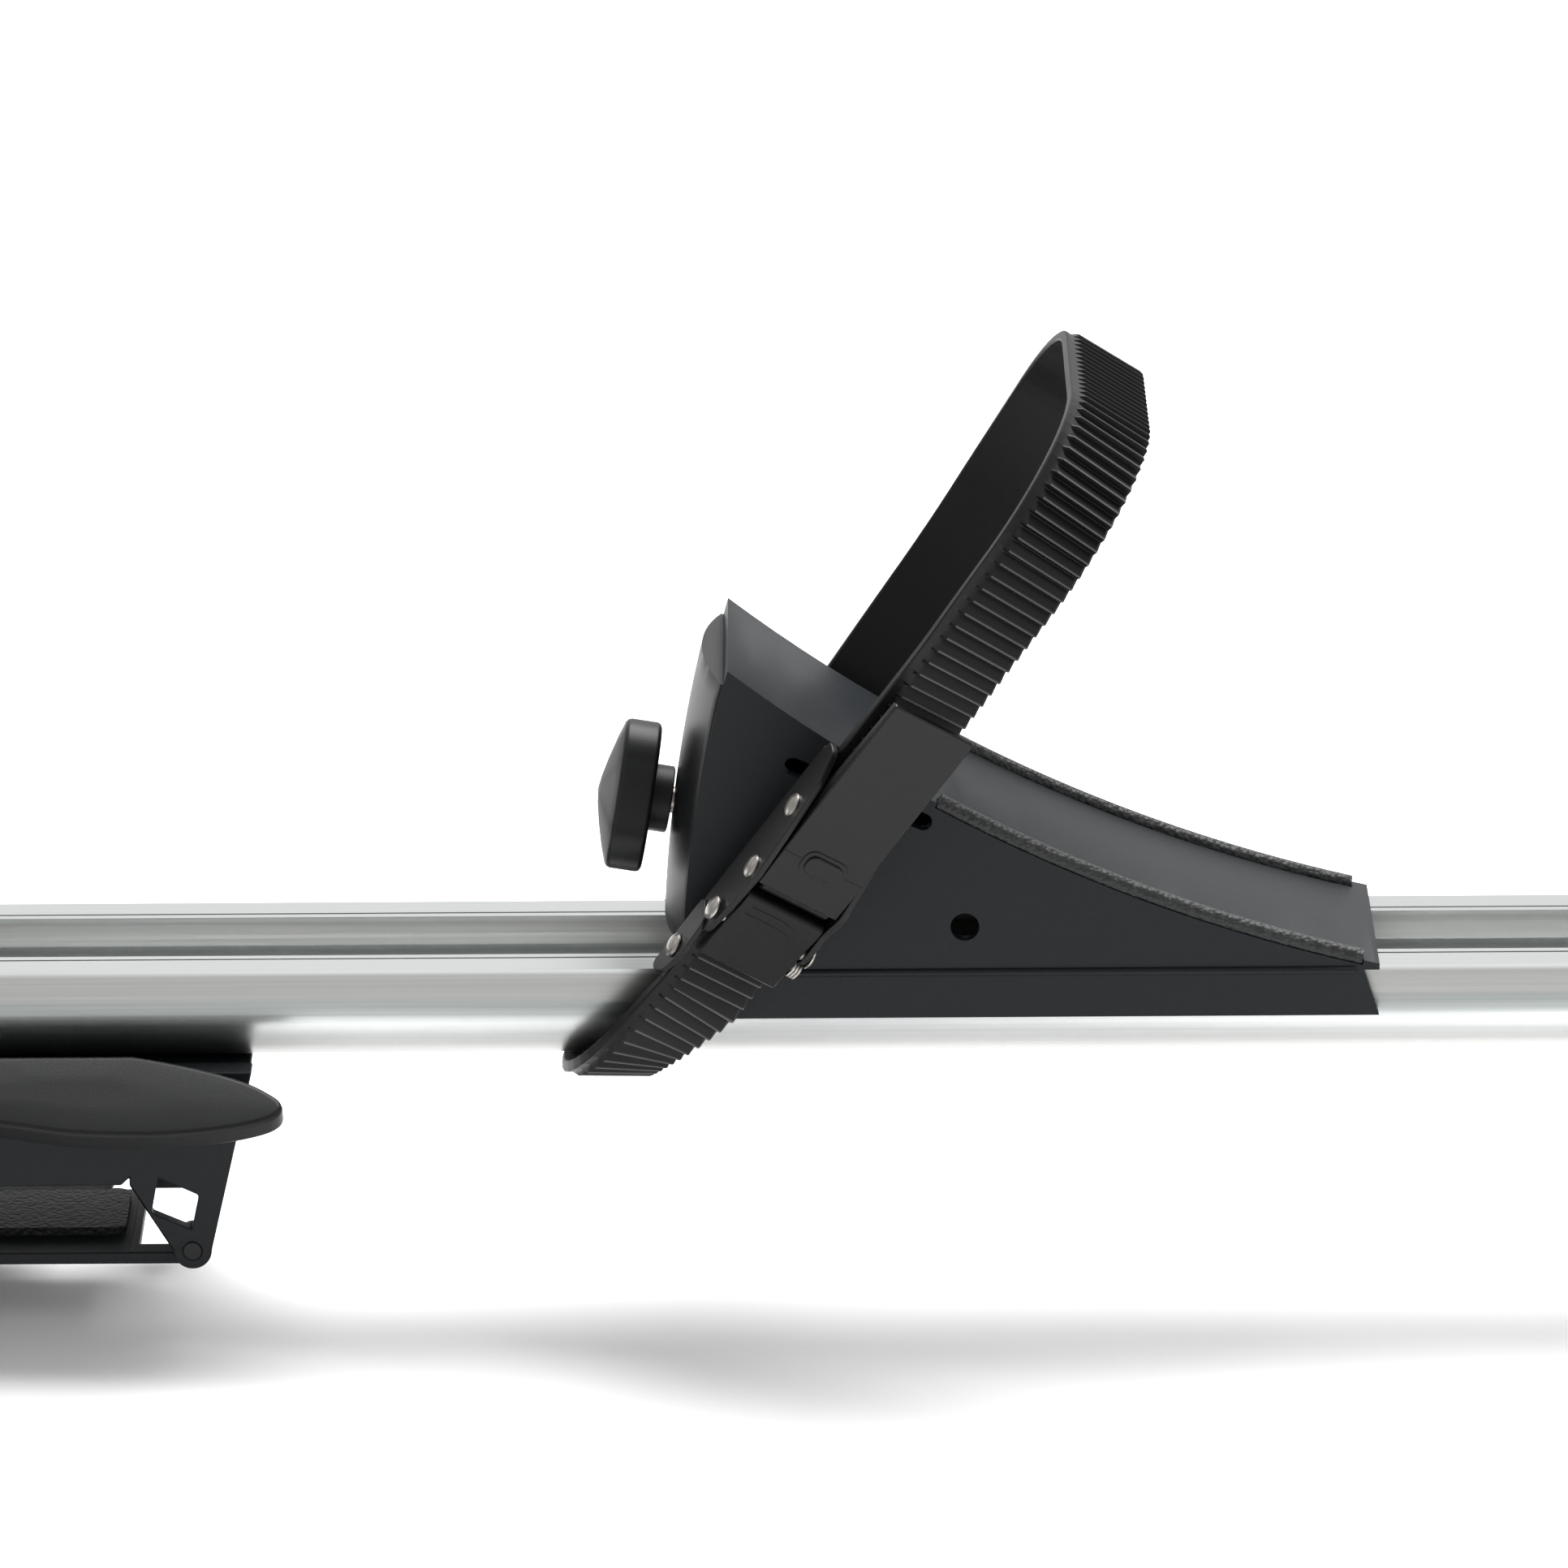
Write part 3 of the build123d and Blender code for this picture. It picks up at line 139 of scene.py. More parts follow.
# Lever: its cover's faces, its walls, its hinge barrel, and what stands on the cover
LEVER_UNDER = 6.3
LEVER_TOP = 8.0
LEVER_WALL_OUT = 9.55
BARREL_HALF = 8.7
NUB_HIGH = 0.9
RIM_HIGH = 0.3
SEAM_HIGH = 0.12
# Release plate: half its width, how far its long edges drop, and its grip lines
RELEASE_HALF = 10.2
RELEASE_DROP = 0.6
GRIP_HIGH = 0.02
GRIP_ALONG = 27.5
GRIP_BEND = 2.6
GRIP_LINE_R = 0.16
# Release spring
COIL_ALONG = 38.5
COIL_OVER = 3.6
COIL_OUT = 10.3
COIL_R = 2.1
COIL_TURNS = 2.5
COIL_PITCH = 0.75
COIL_WIRE_R = 0.33

# Quick lever: the leaf's tilt, where its lower edge lies beside the foot, its thickness and dome
LEAF_TILT = radians(38)
LEAF_OUT = 47.8
LEAF_UP = 20.1
LEAF_THICK = 6.5
LEAF_DOME = 0.45
# The leaf's inner edge is cut along the foot's side, and lower near the hub, where the opening
# lever passes the arm's base: places along the leaf, and its greatest width there
LEAF_CUT_AT = (5.0, 17.0)
LEAF_CUT_TO = (19.8, 21.3)
# Hub behind and beside the foot's middle, and the arm that joins it to the leaf
HUB_BACK = 50.0
HUB_OUT = 47.2
HUB_UP = 11.0
HUB_R = 11.0
HUB_LONG = 16.4
ARM_OUT = 31.1
ARM_THICK = 12.0

# Chock knob: its tilt, its seat behind the cradle's centre and over the rail, and its lobes
KNOB_TILT = radians(9.5)
KNOB_BACK = 237.66
KNOB_UP = 31.6
NECK_R = 7.5
LOBE_R = 15.9
LOBE_SWELL = 1.9
LOBE_TURN = radians(75)

# Patterns: clouds in moulded plastic, scratches in plating, cells of the leather grain, and drawn
# lines, which are drawn coarser than the real ones to show at all
CLOUD_MM = 35.714
SCRATCH_MM = 3.3333
CELL_MM = 1.1765
LINE_MM = 0.6944
LINE_LONG_MM = 123.46
# Depths of the plastics' grain, of the drawn lines and of the leather grain
GRAIN_DEEP = 0.2
LINE_DEEP = 0.1
CELL_DEEP = 0.4
# Height of the rail's bottom
RAIL_LOW = 25.7
# Marked share from which a point starts to take the lighter colour, which on the strap's rib crests
# is a painted highlight
HIGHLIGHT_AND_WEAR_FROM = 0.86
PLASTIC_IOR = 1.5

# Stage in metres: the floor, and soft boxes as (place, target, size, the setting with the power)
FLOOR_REACH = 14.0
FLOOR_DROP = 0.0005
SOFT_BOXES = {
    "key": ((0.5, 1.2, 2.6), (0.15, 0.0, 0.1), (2.6, 2.0), "key_power"),
    "back": ((0.2, 3.4, 1.3), (0.2, 0.0, 0.1), (7.0, 2.2), "back_power"),
    "fill": ((-1.6, -2.2, 1.3), (0.1, 0.0, 0.05), (1.6, 1.6), "fill_power"),
    "kicker": ((1.9, -1.0, 0.9), (0.25, 0.0, 0.08), (0.9, 0.9), "kick_power"),
}
# What the camera looks at, in millimetres, and the width of its film
AIM_AT = np.array([193.0, 0.0, 85.2])
FILM_WIDTH = 36.0

# Mesh making: rings of a domed face, the least share at a sharp corner, the radius of a closed tip,
# a direction that no wire here runs in, the reach within which a CAD node's points become one,
# the crease in degrees that still looks smooth on soft pieces, and the one from which CAD edges are
# rounded
DOME_SHARES = (0.85, 0.6, 0.3)
SHARPEST = 0.35
TIP_R = 0.01
SLANT = np.array([0.31, 0.87, 0.39])
WELD_REACH = 0.005
SOFT_CREASE = 50.0
EDGE_FROM = 32.0


# Vectors and frames


def unit(vector):
    """The vector at length one."""
    vector = np.asarray(vector, float)
    return vector / np.linalg.norm(vector)


def strap_axes():
    """Unit vectors of the loop: out from the cradle's centre, along the cradle, across the strap's
    plane, and along the strap's width."""
    out = -cos(STRAP_FALL) * X - sin(STRAP_FALL) * Z
    along = sin(STRAP_FALL) * X - cos(STRAP_FALL) * Z
    across = cos(STRAP_SKEW) * Y - sin(STRAP_SKEW) * along
    width = cos(STRAP_SKEW) * along + sin(STRAP_SKEW) * Y
    return out, along, across, width


def near_run(end):
    """Upper end and unit direction of the straight run that carries the buckle."""
    out, _, across, _ = strap_axes()
    centre = np.array([CRADLE_X + CHOCK_AT[end], -BELLY_SIDE, RAIL_TOP + CRADLE_UP])
    return centre + BELLY_OUT * out, unit(out + STRAP_NARROWING * across)


def buckle_axes(end):
    """Place on the strap's outer face and unit vectors: down the strap, along its width and
    outward."""
    belly, down = near_run(end)
    width = strap_axes()[3]
    return belly + BUCKLE_ALONG * down, down, width, np.cross(down, width)


def upright(axes, out):
    """Axes of a plate that stands beside the strap, so far out along its width."""
    place, down, width, outward = axes
    return place + width * out, down, outward, np.cross(down, outward)


def placed(points, axes):
    """Points given along three unit vectors, put where those vectors start."""
    start, first, second, third = axes
    points = np.asarray(points, float)
    return (start + points[..., 0:1] * first + points[..., 1:2] * second
            + points[..., 2:3] * third)


# Outlines: closed rows of (x, y) points


def rounded(corners, radii, steps=8):
    """Outline through corners that are rounded by arcs: each arc runs between the points where the
    sides touch a circle of the corner's radius."""
    corners = np.asarray(corners, float)
    radii = np.broadcast_to(np.asarray(radii, float), len(corners))
    before = np.roll(corners, 1, axis=0) - corners
    after = np.roll(corners, -1, axis=0) - corners
    before /= np.linalg.norm(before, axis=1)[:, None]
    after /= np.linalg.norm(after, axis=1)[:, None]
    half = 0.5 * np.arccos(np.clip((before * after).sum(1), -1, 1))
    middle = before + after
    middle /= np.linalg.norm(middle, axis=1)[:, None]
    centre = corners + middle * (radii / np.sin(half))[:, None]
    start = corners + before * (radii / np.tan(half))[:, None] - centre
    turn = (pi - 2 * half) * np.sign(after[:, 0] * before[:, 1] - after[:, 1] * before[:, 0])
    share = np.linspace(0, 1, steps + 1)
    angle = turn[:, None] * share[None, :]
    x = start[:, 0:1] * np.cos(angle) - start[:, 1:2] * np.sin(angle)
    y = start[:, 0:1] * np.sin(angle) + start[:, 1:2] * np.cos(angle)
    points = np.stack([x, y], axis=2) + centre[:, None, :]
    return points.reshape(-1, 2)


def oblong(start, stop, low, high, radius, steps):
    """Outline of a rectangle with round corners."""
    return rounded([(start, low), (stop, low), (stop, high), (start, high)], radius, steps)


def anticlockwise(outline):
    """The outline, turned round if it runs clockwise."""
    x, y = outline[:, 0], outline[:, 1]
    area = (x * np.roll(y, -1) - y * np.roll(x, -1)).sum()
    return outline if area > 0 else outline[::-1]


def inset(outline, depth):
    """Outline moved inward: each point goes along the mean of its two sides' normals."""
    side = np.roll(outline, -1, axis=0) - outline
    side /= np.maximum(np.linalg.norm(side, axis=1), 1e-9)[:, None]
    normal = np.stack([-side[:, 1], side[:, 0]], axis=1)
    mean = normal + np.roll(normal, 1, axis=0)
    mean /= np.maximum((mean * mean).sum(1) / 2, SHARPEST)[:, None]
    return outline + depth * mean


def circle(radius, steps=32):
    """Outline of a circle."""
    angle = np.arange(steps) * 2 * pi / steps
    return radius * np.stack([np.cos(angle), np.sin(angle)], axis=1)


# Meshes


def add_piece(name, points, faces, crease=35.0):
    """Object from points in millimetres, shaded smooth except over creases."""
    mesh = bpy.data.meshes.new(name)
    mesh.from_pydata(np.asarray(points, float).reshape(-1, 3) * MM, [], faces)
    mesh.validate()
    mesh.shade_smooth()
    mesh.set_sharp_from_angle(angle=radians(crease))
    piece = bpy.data.objects.new(name, mesh)
    bpy.context.scene.collection.objects.link(piece)
    normals = piece.modifiers.new("normals", "WEIGHTED_NORMAL")
    normals.keep_sharp = True
    return piece


def mark_highlight_and_wear(piece, shares):
    """Store at each point how far its colour turns to the lighter one, which paints a highlight on
    rib crests; the plastics read it.
    """
    layer = piece.data.attributes.new("worn", "FLOAT", "POINT")
    layer.data.foreach_set("value", np.asarray(shares, np.float32).ravel())


def grid_faces(rows, columns, start, closed):
    """Quads between neighbouring rows of points. Each row's last point joins its first, and closed
    joins the last row to the first one."""
    row = np.arange(rows if closed else rows - 1)[:, None]
    column = np.arange(columns)[None, :]
    next_row = (row + 1) % rows
    next_column = (column + 1) % columns
    quads = np.stack([row * columns + column, row * columns + next_column,
                      next_row * columns + next_column, next_row * columns + column], axis=2)
    return (quads.reshape(-1, 4) + start).tolist()


def skin(rings, start=0, closed=False):
    """Faces of a row of rings, with a flat cap on both ends unless it closes on itself."""
    rows, columns = rings.shape[:2]
    faces = grid_faces(rows, columns, start, closed)
    if not closed:
        faces.append(list(range(start + columns - 1, start - 1, -1)))
        last = start + (rows - 1) * columns
        faces.append(list(range(last, last + columns)))
    return faces


def join(shells):
    """Points and faces of several shells in one mesh."""
    points = []
    faces = []
    count = 0
    for rings, closed in shells:
        faces += skin(rings, count, closed)
        points.append(rings.reshape(-1, 3))
        count += rings.shape[0] * rings.shape[1]
    return np.concatenate(points), faces


def slab(outline, low, high, axes, edge=0.4, steps=3, dome=0.0):
    """Plate over an outline: rings step inward along a quarter circle at both faces, and the upper
    face may rise towards its middle."""
    outline = anticlockwise(outline)
    angle = np.linspace(0, pi / 2, steps + 1)
    levels = [(edge * (1 - sin(a)), low + edge * (1 - cos(a))) for a in angle]
    levels += [(edge * (1 - sin(a)), high - edge * (1 - cos(a))) for a in angle[::-1]]
    rings = [np.column_stack([inset(outline, d), np.full(len(outline), z)]) for d, z in levels]
    if dome:
        top = rings[-1]
        middle = top[:, :2].mean(0)
        for share in DOME_SHARES:
            points = middle + (top[:, :2] - middle) * share
            level = high + dome * (1 - share ** 2)
            rings.append(np.column_stack([points, np.full(len(top), level)]))
    return placed(np.array(rings), axes), False


def lathe(profile, axes, steps=32):
    """Solid of revolution: (radius, height) pairs carried round the third unit vector."""
    rings = [np.column_stack([circle(max(radius, TIP_R), steps), np.full(steps, height)])
             for radius, height in profile]
    return placed(np.array(rings), axes), False


def tube(path, radius, steps=10):
    """Round wire along a path: rings across the path's direction."""
    path = np.asarray(path, float)
    along = np.gradient(path, axis=0)
    along /= np.linalg.norm(along, axis=1)[:, None]
    side = np.cross(along, SLANT)
    side /= np.linalg.norm(side, axis=1)[:, None]
    up = np.cross(along, side)
    angle = np.arange(steps) * 2 * pi / steps
    rings = (path[:, None, :] + radius * (np.cos(angle)[None, :, None] * side[:, None, :]
             + np.sin(angle)[None, :, None] * up[:, None, :]))
    return rings[:, ::-1], False


def finish_piece(piece, body, finish, *nodes):
    """Give a piece its body and material, and hide the CAD nodes that it stands for."""
    piece.data.materials.append(finish_for(finish))
    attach(piece, body)
    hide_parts(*nodes)


# Materials


def linear(code):
    """sRGB hex colour as linear red, green, blue and full alpha."""
    values = np.array([int(code[i:i + 2], 16) / 255 for i in (1, 3, 5)])
    values = np.where(values <= 0.04045, values / 12.92, ((values + 0.055) / 1.055) ** 2.4)
    return (*values.tolist(), 1.0)


def add(tree, kind, links=None, **settings):
    """One node: settings are socket values or properties, links are input sockets to outputs."""
    node = tree.nodes.new(kind)
    for key, value in settings.items():
        if key in node.inputs:
            node.inputs[key].default_value = value
        else:
            setattr(node, key, value)
    for socket, output in (links or {}).items():
        tree.links.new(node.inputs[socket], output)
    return node


def new_material(name):
    """An empty node material with its surface shader: (material, tree, shader)."""
    material = bpy.data.materials.new(name)
    material.use_nodes = True
    tree = material.node_tree
    tree.nodes.clear()
    shader = tree.nodes.new("ShaderNodeBsdfPrincipled")
    output = tree.nodes.new("ShaderNodeOutputMaterial")
    tree.links.new(output.inputs["Surface"], shader.outputs["BSDF"])
    return material, tree, shader


def per_metre(size_mm):
    """Scale of a pattern whose cells have that size."""
    return 1 / (size_mm * MM)


def pattern_space(tree, stretch=(1.0, 1.0, 1.0)):
    """Object coordinates, drawn out along some axes."""
    place = add(tree, "ShaderNodeTexCoord")
    return add(tree, "ShaderNodeMapping", {"Vector": place.outputs["Object"]}, Scale=stretch)


def spread(tree, value, low, high):
    """A pattern's value mapped to a range."""
    return add(tree, "ShaderNodeMapRange", {"Value": value}, **{"To Min": low, "To Max": high})


def moulded(name, dark, light, roughness, grain_mm, relief, shine=0.3, worn="#6A6C6E"):
    """Injection moulded plastic: fine spark eroded grain, a cloudy sheen, and a lighter colour
    where the mesh marks it, which paints a highlight on the strap's rib crests. Its shine is low,
    as the photograph's blacks stay deep."""
    material, tree, shader = new_material(name)
    space = pattern_space(tree)
    cloud = add(tree, "ShaderNodeTexNoise", {"Vector": space.outputs[0]},
                Scale=per_metre(CLOUD_MM), Detail=4.0)
    grain = add(tree, "ShaderNodeTexNoise", {"Vector": space.outputs[0]},
                Scale=per_metre(grain_mm), Detail=2.0)
    tint = add(tree, "ShaderNodeMix", {"Factor": cloud.outputs["Fac"]}, data_type="RGBA")
    tint.inputs["A"].default_value = linear(dark)
    tint.inputs["B"].default_value = linear(light)
    # Lighter colour where the mesh marks points, which paints a highlight on the strap's rib crests
    highlight_and_wear_mark = add(tree, "ShaderNodeAttribute", attribute_name="worn")
    edge = add(tree, "ShaderNodeMapRange", {"Value": highlight_and_wear_mark.outputs["Fac"]},
               **{"From Min": HIGHLIGHT_AND_WEAR_FROM})
    bright = add(tree, "ShaderNodeMix", {"Factor": edge.outputs[0], "A": tint.outputs["Result"]},
                 data_type="RGBA")
    bright.inputs["B"].default_value = linear(worn)
    tree.links.new(shader.inputs["Base Color"], bright.outputs["Result"])
    gloss = spread(tree, cloud.outputs["Fac"], roughness - 0.07, roughness + 0.07)
    tree.links.new(shader.inputs["Roughness"], gloss.outputs[0])
    bump = add(tree, "ShaderNodeBump", {"Height": grain.outputs["Fac"]}, Strength=relief,
               Distance=GRAIN_DEEP * MM)
    tree.links.new(shader.inputs["Normal"], bump.outputs["Normal"])
    shader.inputs["IOR"].default_value = PLASTIC_IOR
    shader.inputs["Specular IOR Level"].default_value = shine
    return material


def anodised(name):
    """Extruded and anodised aluminium: drawn lines along the length under a satin skin. A ramp over
    the height paints light into the colour: a painted highlight along the round lower corners and
    painted shade over the flat walls."""
    material, tree, shader = new_material(name)
    lines = pattern_space(tree, (LINE_MM / LINE_LONG_MM, 1.0, 1.0))
    streak = add(tree, "ShaderNodeTexNoise", {"Vector": lines.outputs[0]},
                 Scale=per_metre(LINE_MM), Detail=5.0)
    place = add(tree, "ShaderNodeTexCoord")
    height = add(tree, "ShaderNodeSeparateXYZ", {"Vector": place.outputs["Object"]})
    share = add(tree, "ShaderNodeMapRange", {"Value": height.outputs["Z"]},
                **{"From Min": RAIL_LOW * MM, "From Max": RAIL_TOP * MM})
    # Colour by height is painted light: painted shade near the bottom, a painted highlight band
    # along the round lower corner, deeper painted shade over the flat wall, and less of it at the
    # lip
    ramp = add(tree, "ShaderNodeValToRGB", {"Fac": share.outputs[0]})
    painted_light_stops = [(0.0, "#B4B4B2"), (0.1, "#B6B6B4"), (0.235, "#CDCDCB"), (0.33, "#F2F3F3"),
             (0.4, "#FDFDFD"), (0.47, "#F2F4F4"), (0.56, "#A3A7A6"), (0.654, "#8D9190"),
             (0.75, "#969694"), (0.94, "#969694"), (0.98, "#B6B8B7")]
    for place_share, code in painted_light_stops[2:]:
        ramp.color_ramp.elements.new(place_share)
    for stop, (place_share, code) in zip(ramp.color_ramp.elements, painted_light_stops):
        stop.position = place_share
        stop.color = linear(code)
    tint = add(tree, "ShaderNodeMix", {"Factor": streak.outputs["Fac"], "A": ramp.outputs["Color"]},
               data_type="RGBA", blend_type="MULTIPLY")
    tint.inputs["B"].default_value = linear("#E2E4E4")
    tree.links.new(shader.inputs["Base Color"], tint.outputs["Result"])
    gloss = spread(tree, streak.outputs["Fac"], 0.26, 0.4)
    tree.links.new(shader.inputs["Roughness"], gloss.outputs[0])
    bump = add(tree, "ShaderNodeBump", {"Height": streak.outputs["Fac"]}, Strength=0.12,
               Distance=LINE_DEEP * MM)
    tree.links.new(shader.inputs["Normal"], bump.outputs["Normal"])
    shader.inputs["Metallic"].default_value = 1.0
    return material


def metal(name, dark, light, roughness):
    """Pressed or turned metal: small scratches that catch the light."""
    material, tree, shader = new_material(name)
    space = pattern_space(tree)
    wear = add(tree, "ShaderNodeTexNoise", {"Vector": space.outputs[0]},
               Scale=per_metre(SCRATCH_MM), Detail=6.0)
    tint = add(tree, "ShaderNodeMix", {"Factor": wear.outputs["Fac"]}, data_type="RGBA")
    tint.inputs["A"].default_value = linear(dark)
    tint.inputs["B"].default_value = linear(light)
    tree.links.new(shader.inputs["Base Color"], tint.outputs["Result"])
    gloss = spread(tree, wear.outputs["Fac"], roughness - 0.08, roughness + 0.1)
    tree.links.new(shader.inputs["Roughness"], gloss.outputs[0])
    shader.inputs["Metallic"].default_value = 1.0
    return material


def leathery(name, dark, light):
    """Moulded rubber with a leather like grain of cells about 1.2 mm across."""
    material, tree, shader = new_material(name)
    space = pattern_space(tree)
    cells = add(tree, "ShaderNodeTexVoronoi", {"Vector": space.outputs[0]},
                Scale=per_metre(CELL_MM))
    tint = add(tree, "ShaderNodeMix", {"Factor": cells.outputs["Distance"]}, data_type="RGBA")
    tint.inputs["A"].default_value = linear(light)
    tint.inputs["B"].default_value = linear(dark)
    tree.links.new(shader.inputs["Base Color"], tint.outputs["Result"])
    bump = add(tree, "ShaderNodeBump", {"Height": cells.outputs["Distance"]}, Strength=0.8,
               Distance=CELL_DEEP * MM, invert=True)
    tree.links.new(shader.inputs["Normal"], bump.outputs["Normal"])
    shader.inputs["Roughness"].default_value = 0.55
    return material


FINISHES = {
    # Drawn aluminium, with a painted highlight band along its round lower corners and painted shade
    # over its flat walls
    "rail_aluminium": lambda: anodised("anodised_aluminium"),
    # Bluish black, matt: the biggest dark form of the picture
    "moulded_plastic": lambda: moulded(
        "glass_filled_nylon", "#101417", "#171C20", roughness=0.5, grain_mm=0.35, relief=0.25,
        shine=0.22),
    # A little smoother and warmer: covers, levers and knobs stand out from the shell
    "cover_plastic": lambda: moulded(
        "satin_nylon", "#0E0F10", "#151618", roughness=0.42, grain_mm=0.3, relief=0.12, shine=0.25),
    # Deep warm black, with a painted highlight on the rib crests
    "strap_plastic": lambda: moulded(
        "strap_polyurethane", "#0A0A0A", "#101010", roughness=0.45, grain_mm=0.5, relief=0.1,
        shine=0.25, worn="#5C5C5C"),
    # Leather like grain: tells the gripping pads from hard plastic
    "soft_rubber": lambda: leathery("grained_rubber", "#0D0E0F", "#1C1E20"),
    # Satin black sheet metal, with a colour for bare bright edges that none of its pieces marks
    "black_metal": lambda: moulded(
        "coated_pressing", "#0B0B0B", "#131313", roughness=0.38, grain_mm=0.4, relief=0.08,
        shine=0.28, worn="#8A8682"),
    # Warm grey plating: the bright accents of the buckle
    "steel": lambda: metal("zinc_plated_steel", "#8F8B86", "#C9C5BF", roughness=0.3),
    # Coarser, darker coat on the cast parts of the arm
    "cast_alloy": lambda: moulded(
        "powder_coated_casting", "#121417", "#1B1E22", roughness=0.5, grain_mm=0.5, relief=0.35),
}
_made = {}


def finish_for(slot):
    """The material of a slot, made once."""
    if slot not in _made:
        _made[slot] = FINISHES[slot]()
    return _made[slot]


def slot_of(node):
    """The record's material slot of a CAD node."""
    for part in frame["record"]["subparts"]:
        if part["node"] == node:
            return part["material_slot"]
    raise ValueError("no slot for " + node)


def dress(node, edge):
    """Give a CAD node its finish, and round its sharp edges a little."""
    piece = frame["nodes"][node]
    piece.data.materials.clear()
    piece.data.materials.append(finish_for(slot_of(node)))
    if edge:
        weld = piece.modifiers.new("weld", "WELD")
        weld.merge_threshold = WELD_REACH * MM
        bevel = piece.modifiers.new("edges", "BEVEL")
        bevel.width = edge * MM
        bevel.segments = 2
        bevel.limit_method = "ANGLE"
        bevel.angle_limit = radians(EDGE_FROM)
        bevel.use_clamp_overlap = True
        bevel.harden_normals = True


# Strap


def strap_corners(end):
    """Corners of the loop's outer face: (place, radius, direction of the width), from the lower end
    inside the buckle under the rail, up the far side, over the top and back down to the buckle."""
    out, along, _, width = strap_axes()
    belly, down = near_run(end)
    centre = belly - BELLY_OUT * out + BELLY_SIDE * Y
    near_low = belly + down * (STRAP_LEVEL - belly[2]) / down[2] - STRAP_SWEEP * X
    far_low = np.array([near_low[0] + STRAP_LEAD, -near_low[1], STRAP_LEVEL])
    far_belly = centre + BELLY_OUT * out + BELLY_LEAD * along + BELLY_SIDE * Y
    crown = centre + CROWN_OUT * out + CROWN_LEAD * along
    return [(belly + down * (BUCKLE_ALONG + STRAP_GAP), 0.0, width),
            (belly + down * (BUCKLE_ALONG + BUCKLE_RUN), 0.0, width),
            (near_low, LOW_ROUND, NEAR_LOW_WIDTH),
            (far_low, LOW_ROUND, FAR_LOW_WIDTH),
            (far_belly, BELLY_ROUND, along - STRAP_LEAN * Y),
            (crown + CROWN_FAR * Y, CROWN_FAR_ROUND, along),
            (crown - CROWN_NEAR * Y, CROWN_NEAR_ROUND, along + STRAP_LEAN * Y),
            (belly, BELLY_ROUND, width),
            (belly + down * BUCKLE_ALONG, 0.0, width)]


def strap_line(end, steps=24):
    """Fine line along the loop and its width directions: straight runs between arcs, each arc
    touching both sides of its corner."""
    corners = strap_corners(end)
    places = [corners[0][0]]
    widths = [corners[0][2]]
    for before, here, after in zip(corners, corners[1:], corners[2:]):
        corner, radius, width = here
        back = unit(before[0] - corner)
        ahead = unit(after[0] - corner)
        half = 0.5 * np.arccos(np.clip(back @ ahead, -1, 1))
        middle = unit(back + ahead)
        centre = corner + middle * radius / np.sin(half)
        reach = pi / 2 - half
        turn = np.linspace(-reach, reach, steps + 1)[:, None]
        side = unit(ahead - back)
        arc = centre + radius * (np.sin(turn) * side - np.cos(turn) * middle)
        places += list(arc) if radius else [corner]
        widths += [width] * (len(places) - len(widths))
    places.append(corners[-1][0])
    widths.append(corners[-1][2])
    return np.array(places), np.array(widths)


def strap_rows(end, pitch):
    """Rows along the loop at each edge of every rib: place, outward and width directions, and how
    high the rib stands there. Widths are made square to the line by taking away their share of
    its direction."""
    line, widths = strap_line(end)
    length = np.concatenate([[0], np.cumsum(np.linalg.norm(np.diff(line, axis=0), axis=1))])
    count = int(length[-1] / pitch)
    places = ((np.arange(count)[:, None] + RIB_CUTS) * length[-1] / count).ravel()
    places = np.append(places, length[-1])
    tooth = np.append(np.tile(RIB_LEVELS, count), 0.0)

    def sampled(values, at):
        return np.stack([np.interp(at, length, values[:, k]) for k in range(3)], axis=1)

    forward = sampled(line, places + AIM_REACH) - sampled(line, places - AIM_REACH)
    forward /= np.linalg.norm(forward, axis=1)[:, None]
    width = sampled(widths, places)
    width -= (width * forward).sum(1)[:, None] * forward
    width /= np.linalg.norm(width, axis=1)[:, None]
    return sampled(line, places), np.cross(forward, width), width, tooth


class CARRIER_OT_straps(bpy.types.Operator):
    """Ribbed ratchet straps in a loop round the rail and over the chock"""
    bl_idname = "carrier.straps"
    bl_label = "Wheel straps"

    def execute(self, context):
        sizes = context.scene.carrier_sizes
        half = sizes.strap_width / 2
        thick = sizes.strap_thick
        rib = sizes.rib_height
        band = thick - rib
        # Section: over the outer face from one edge to the other, then back along the inner face.
        # Each row is (along the width, depth under the rib's foot, share of the rib's height).
        section = np.array([
            (-half, 0.3, 0.3), (-half + 0.25, 0.0, BAND_SHARE),
            (-half + BAND_WIDTH, 0.0, BAND_SHARE), (-half + RAMP_END, 0.0, 1.0),
            (half - 0.5, 0.0, 1.0), (half, 0.25, 0.9), (half, band - STRAP_CORNER, 0.0),
            (half - STRAP_CORNER, band, 0.0), (-half + STRAP_CORNER, band, 0.0),
            (-half, band - STRAP_CORNER, 0.0)])
        ribbed = section[None, :, 2] > 0.5
        for end in CHOCK_AT:
            place, outward, width, tooth = strap_rows(end, sizes.rib_pitch)
            share = np.where(ribbed, tooth[:, None], 1.0) * section[None, :, 2]
            depth = rib + section[None, :, 1] - rib * share
            points = (place[:, None, :] - depth[..., None] * outward[:, None, :]
                      + section[None, :, 0:1] * width[:, None, :])
            piece = add_piece(end + "_ribbed_strap", points, skin(points), RIB_CREASE)
            # Rib crests take a painted highlight: the lighter colour where each rib stands highest
            mark_highlight_and_wear(piece, np.where(ribbed, tooth[:, None], 0.0))
            finish_piece(piece, end + "_chock", "strap_plastic", end + "_strap")
        return {"FINISHED"}


# Buckles


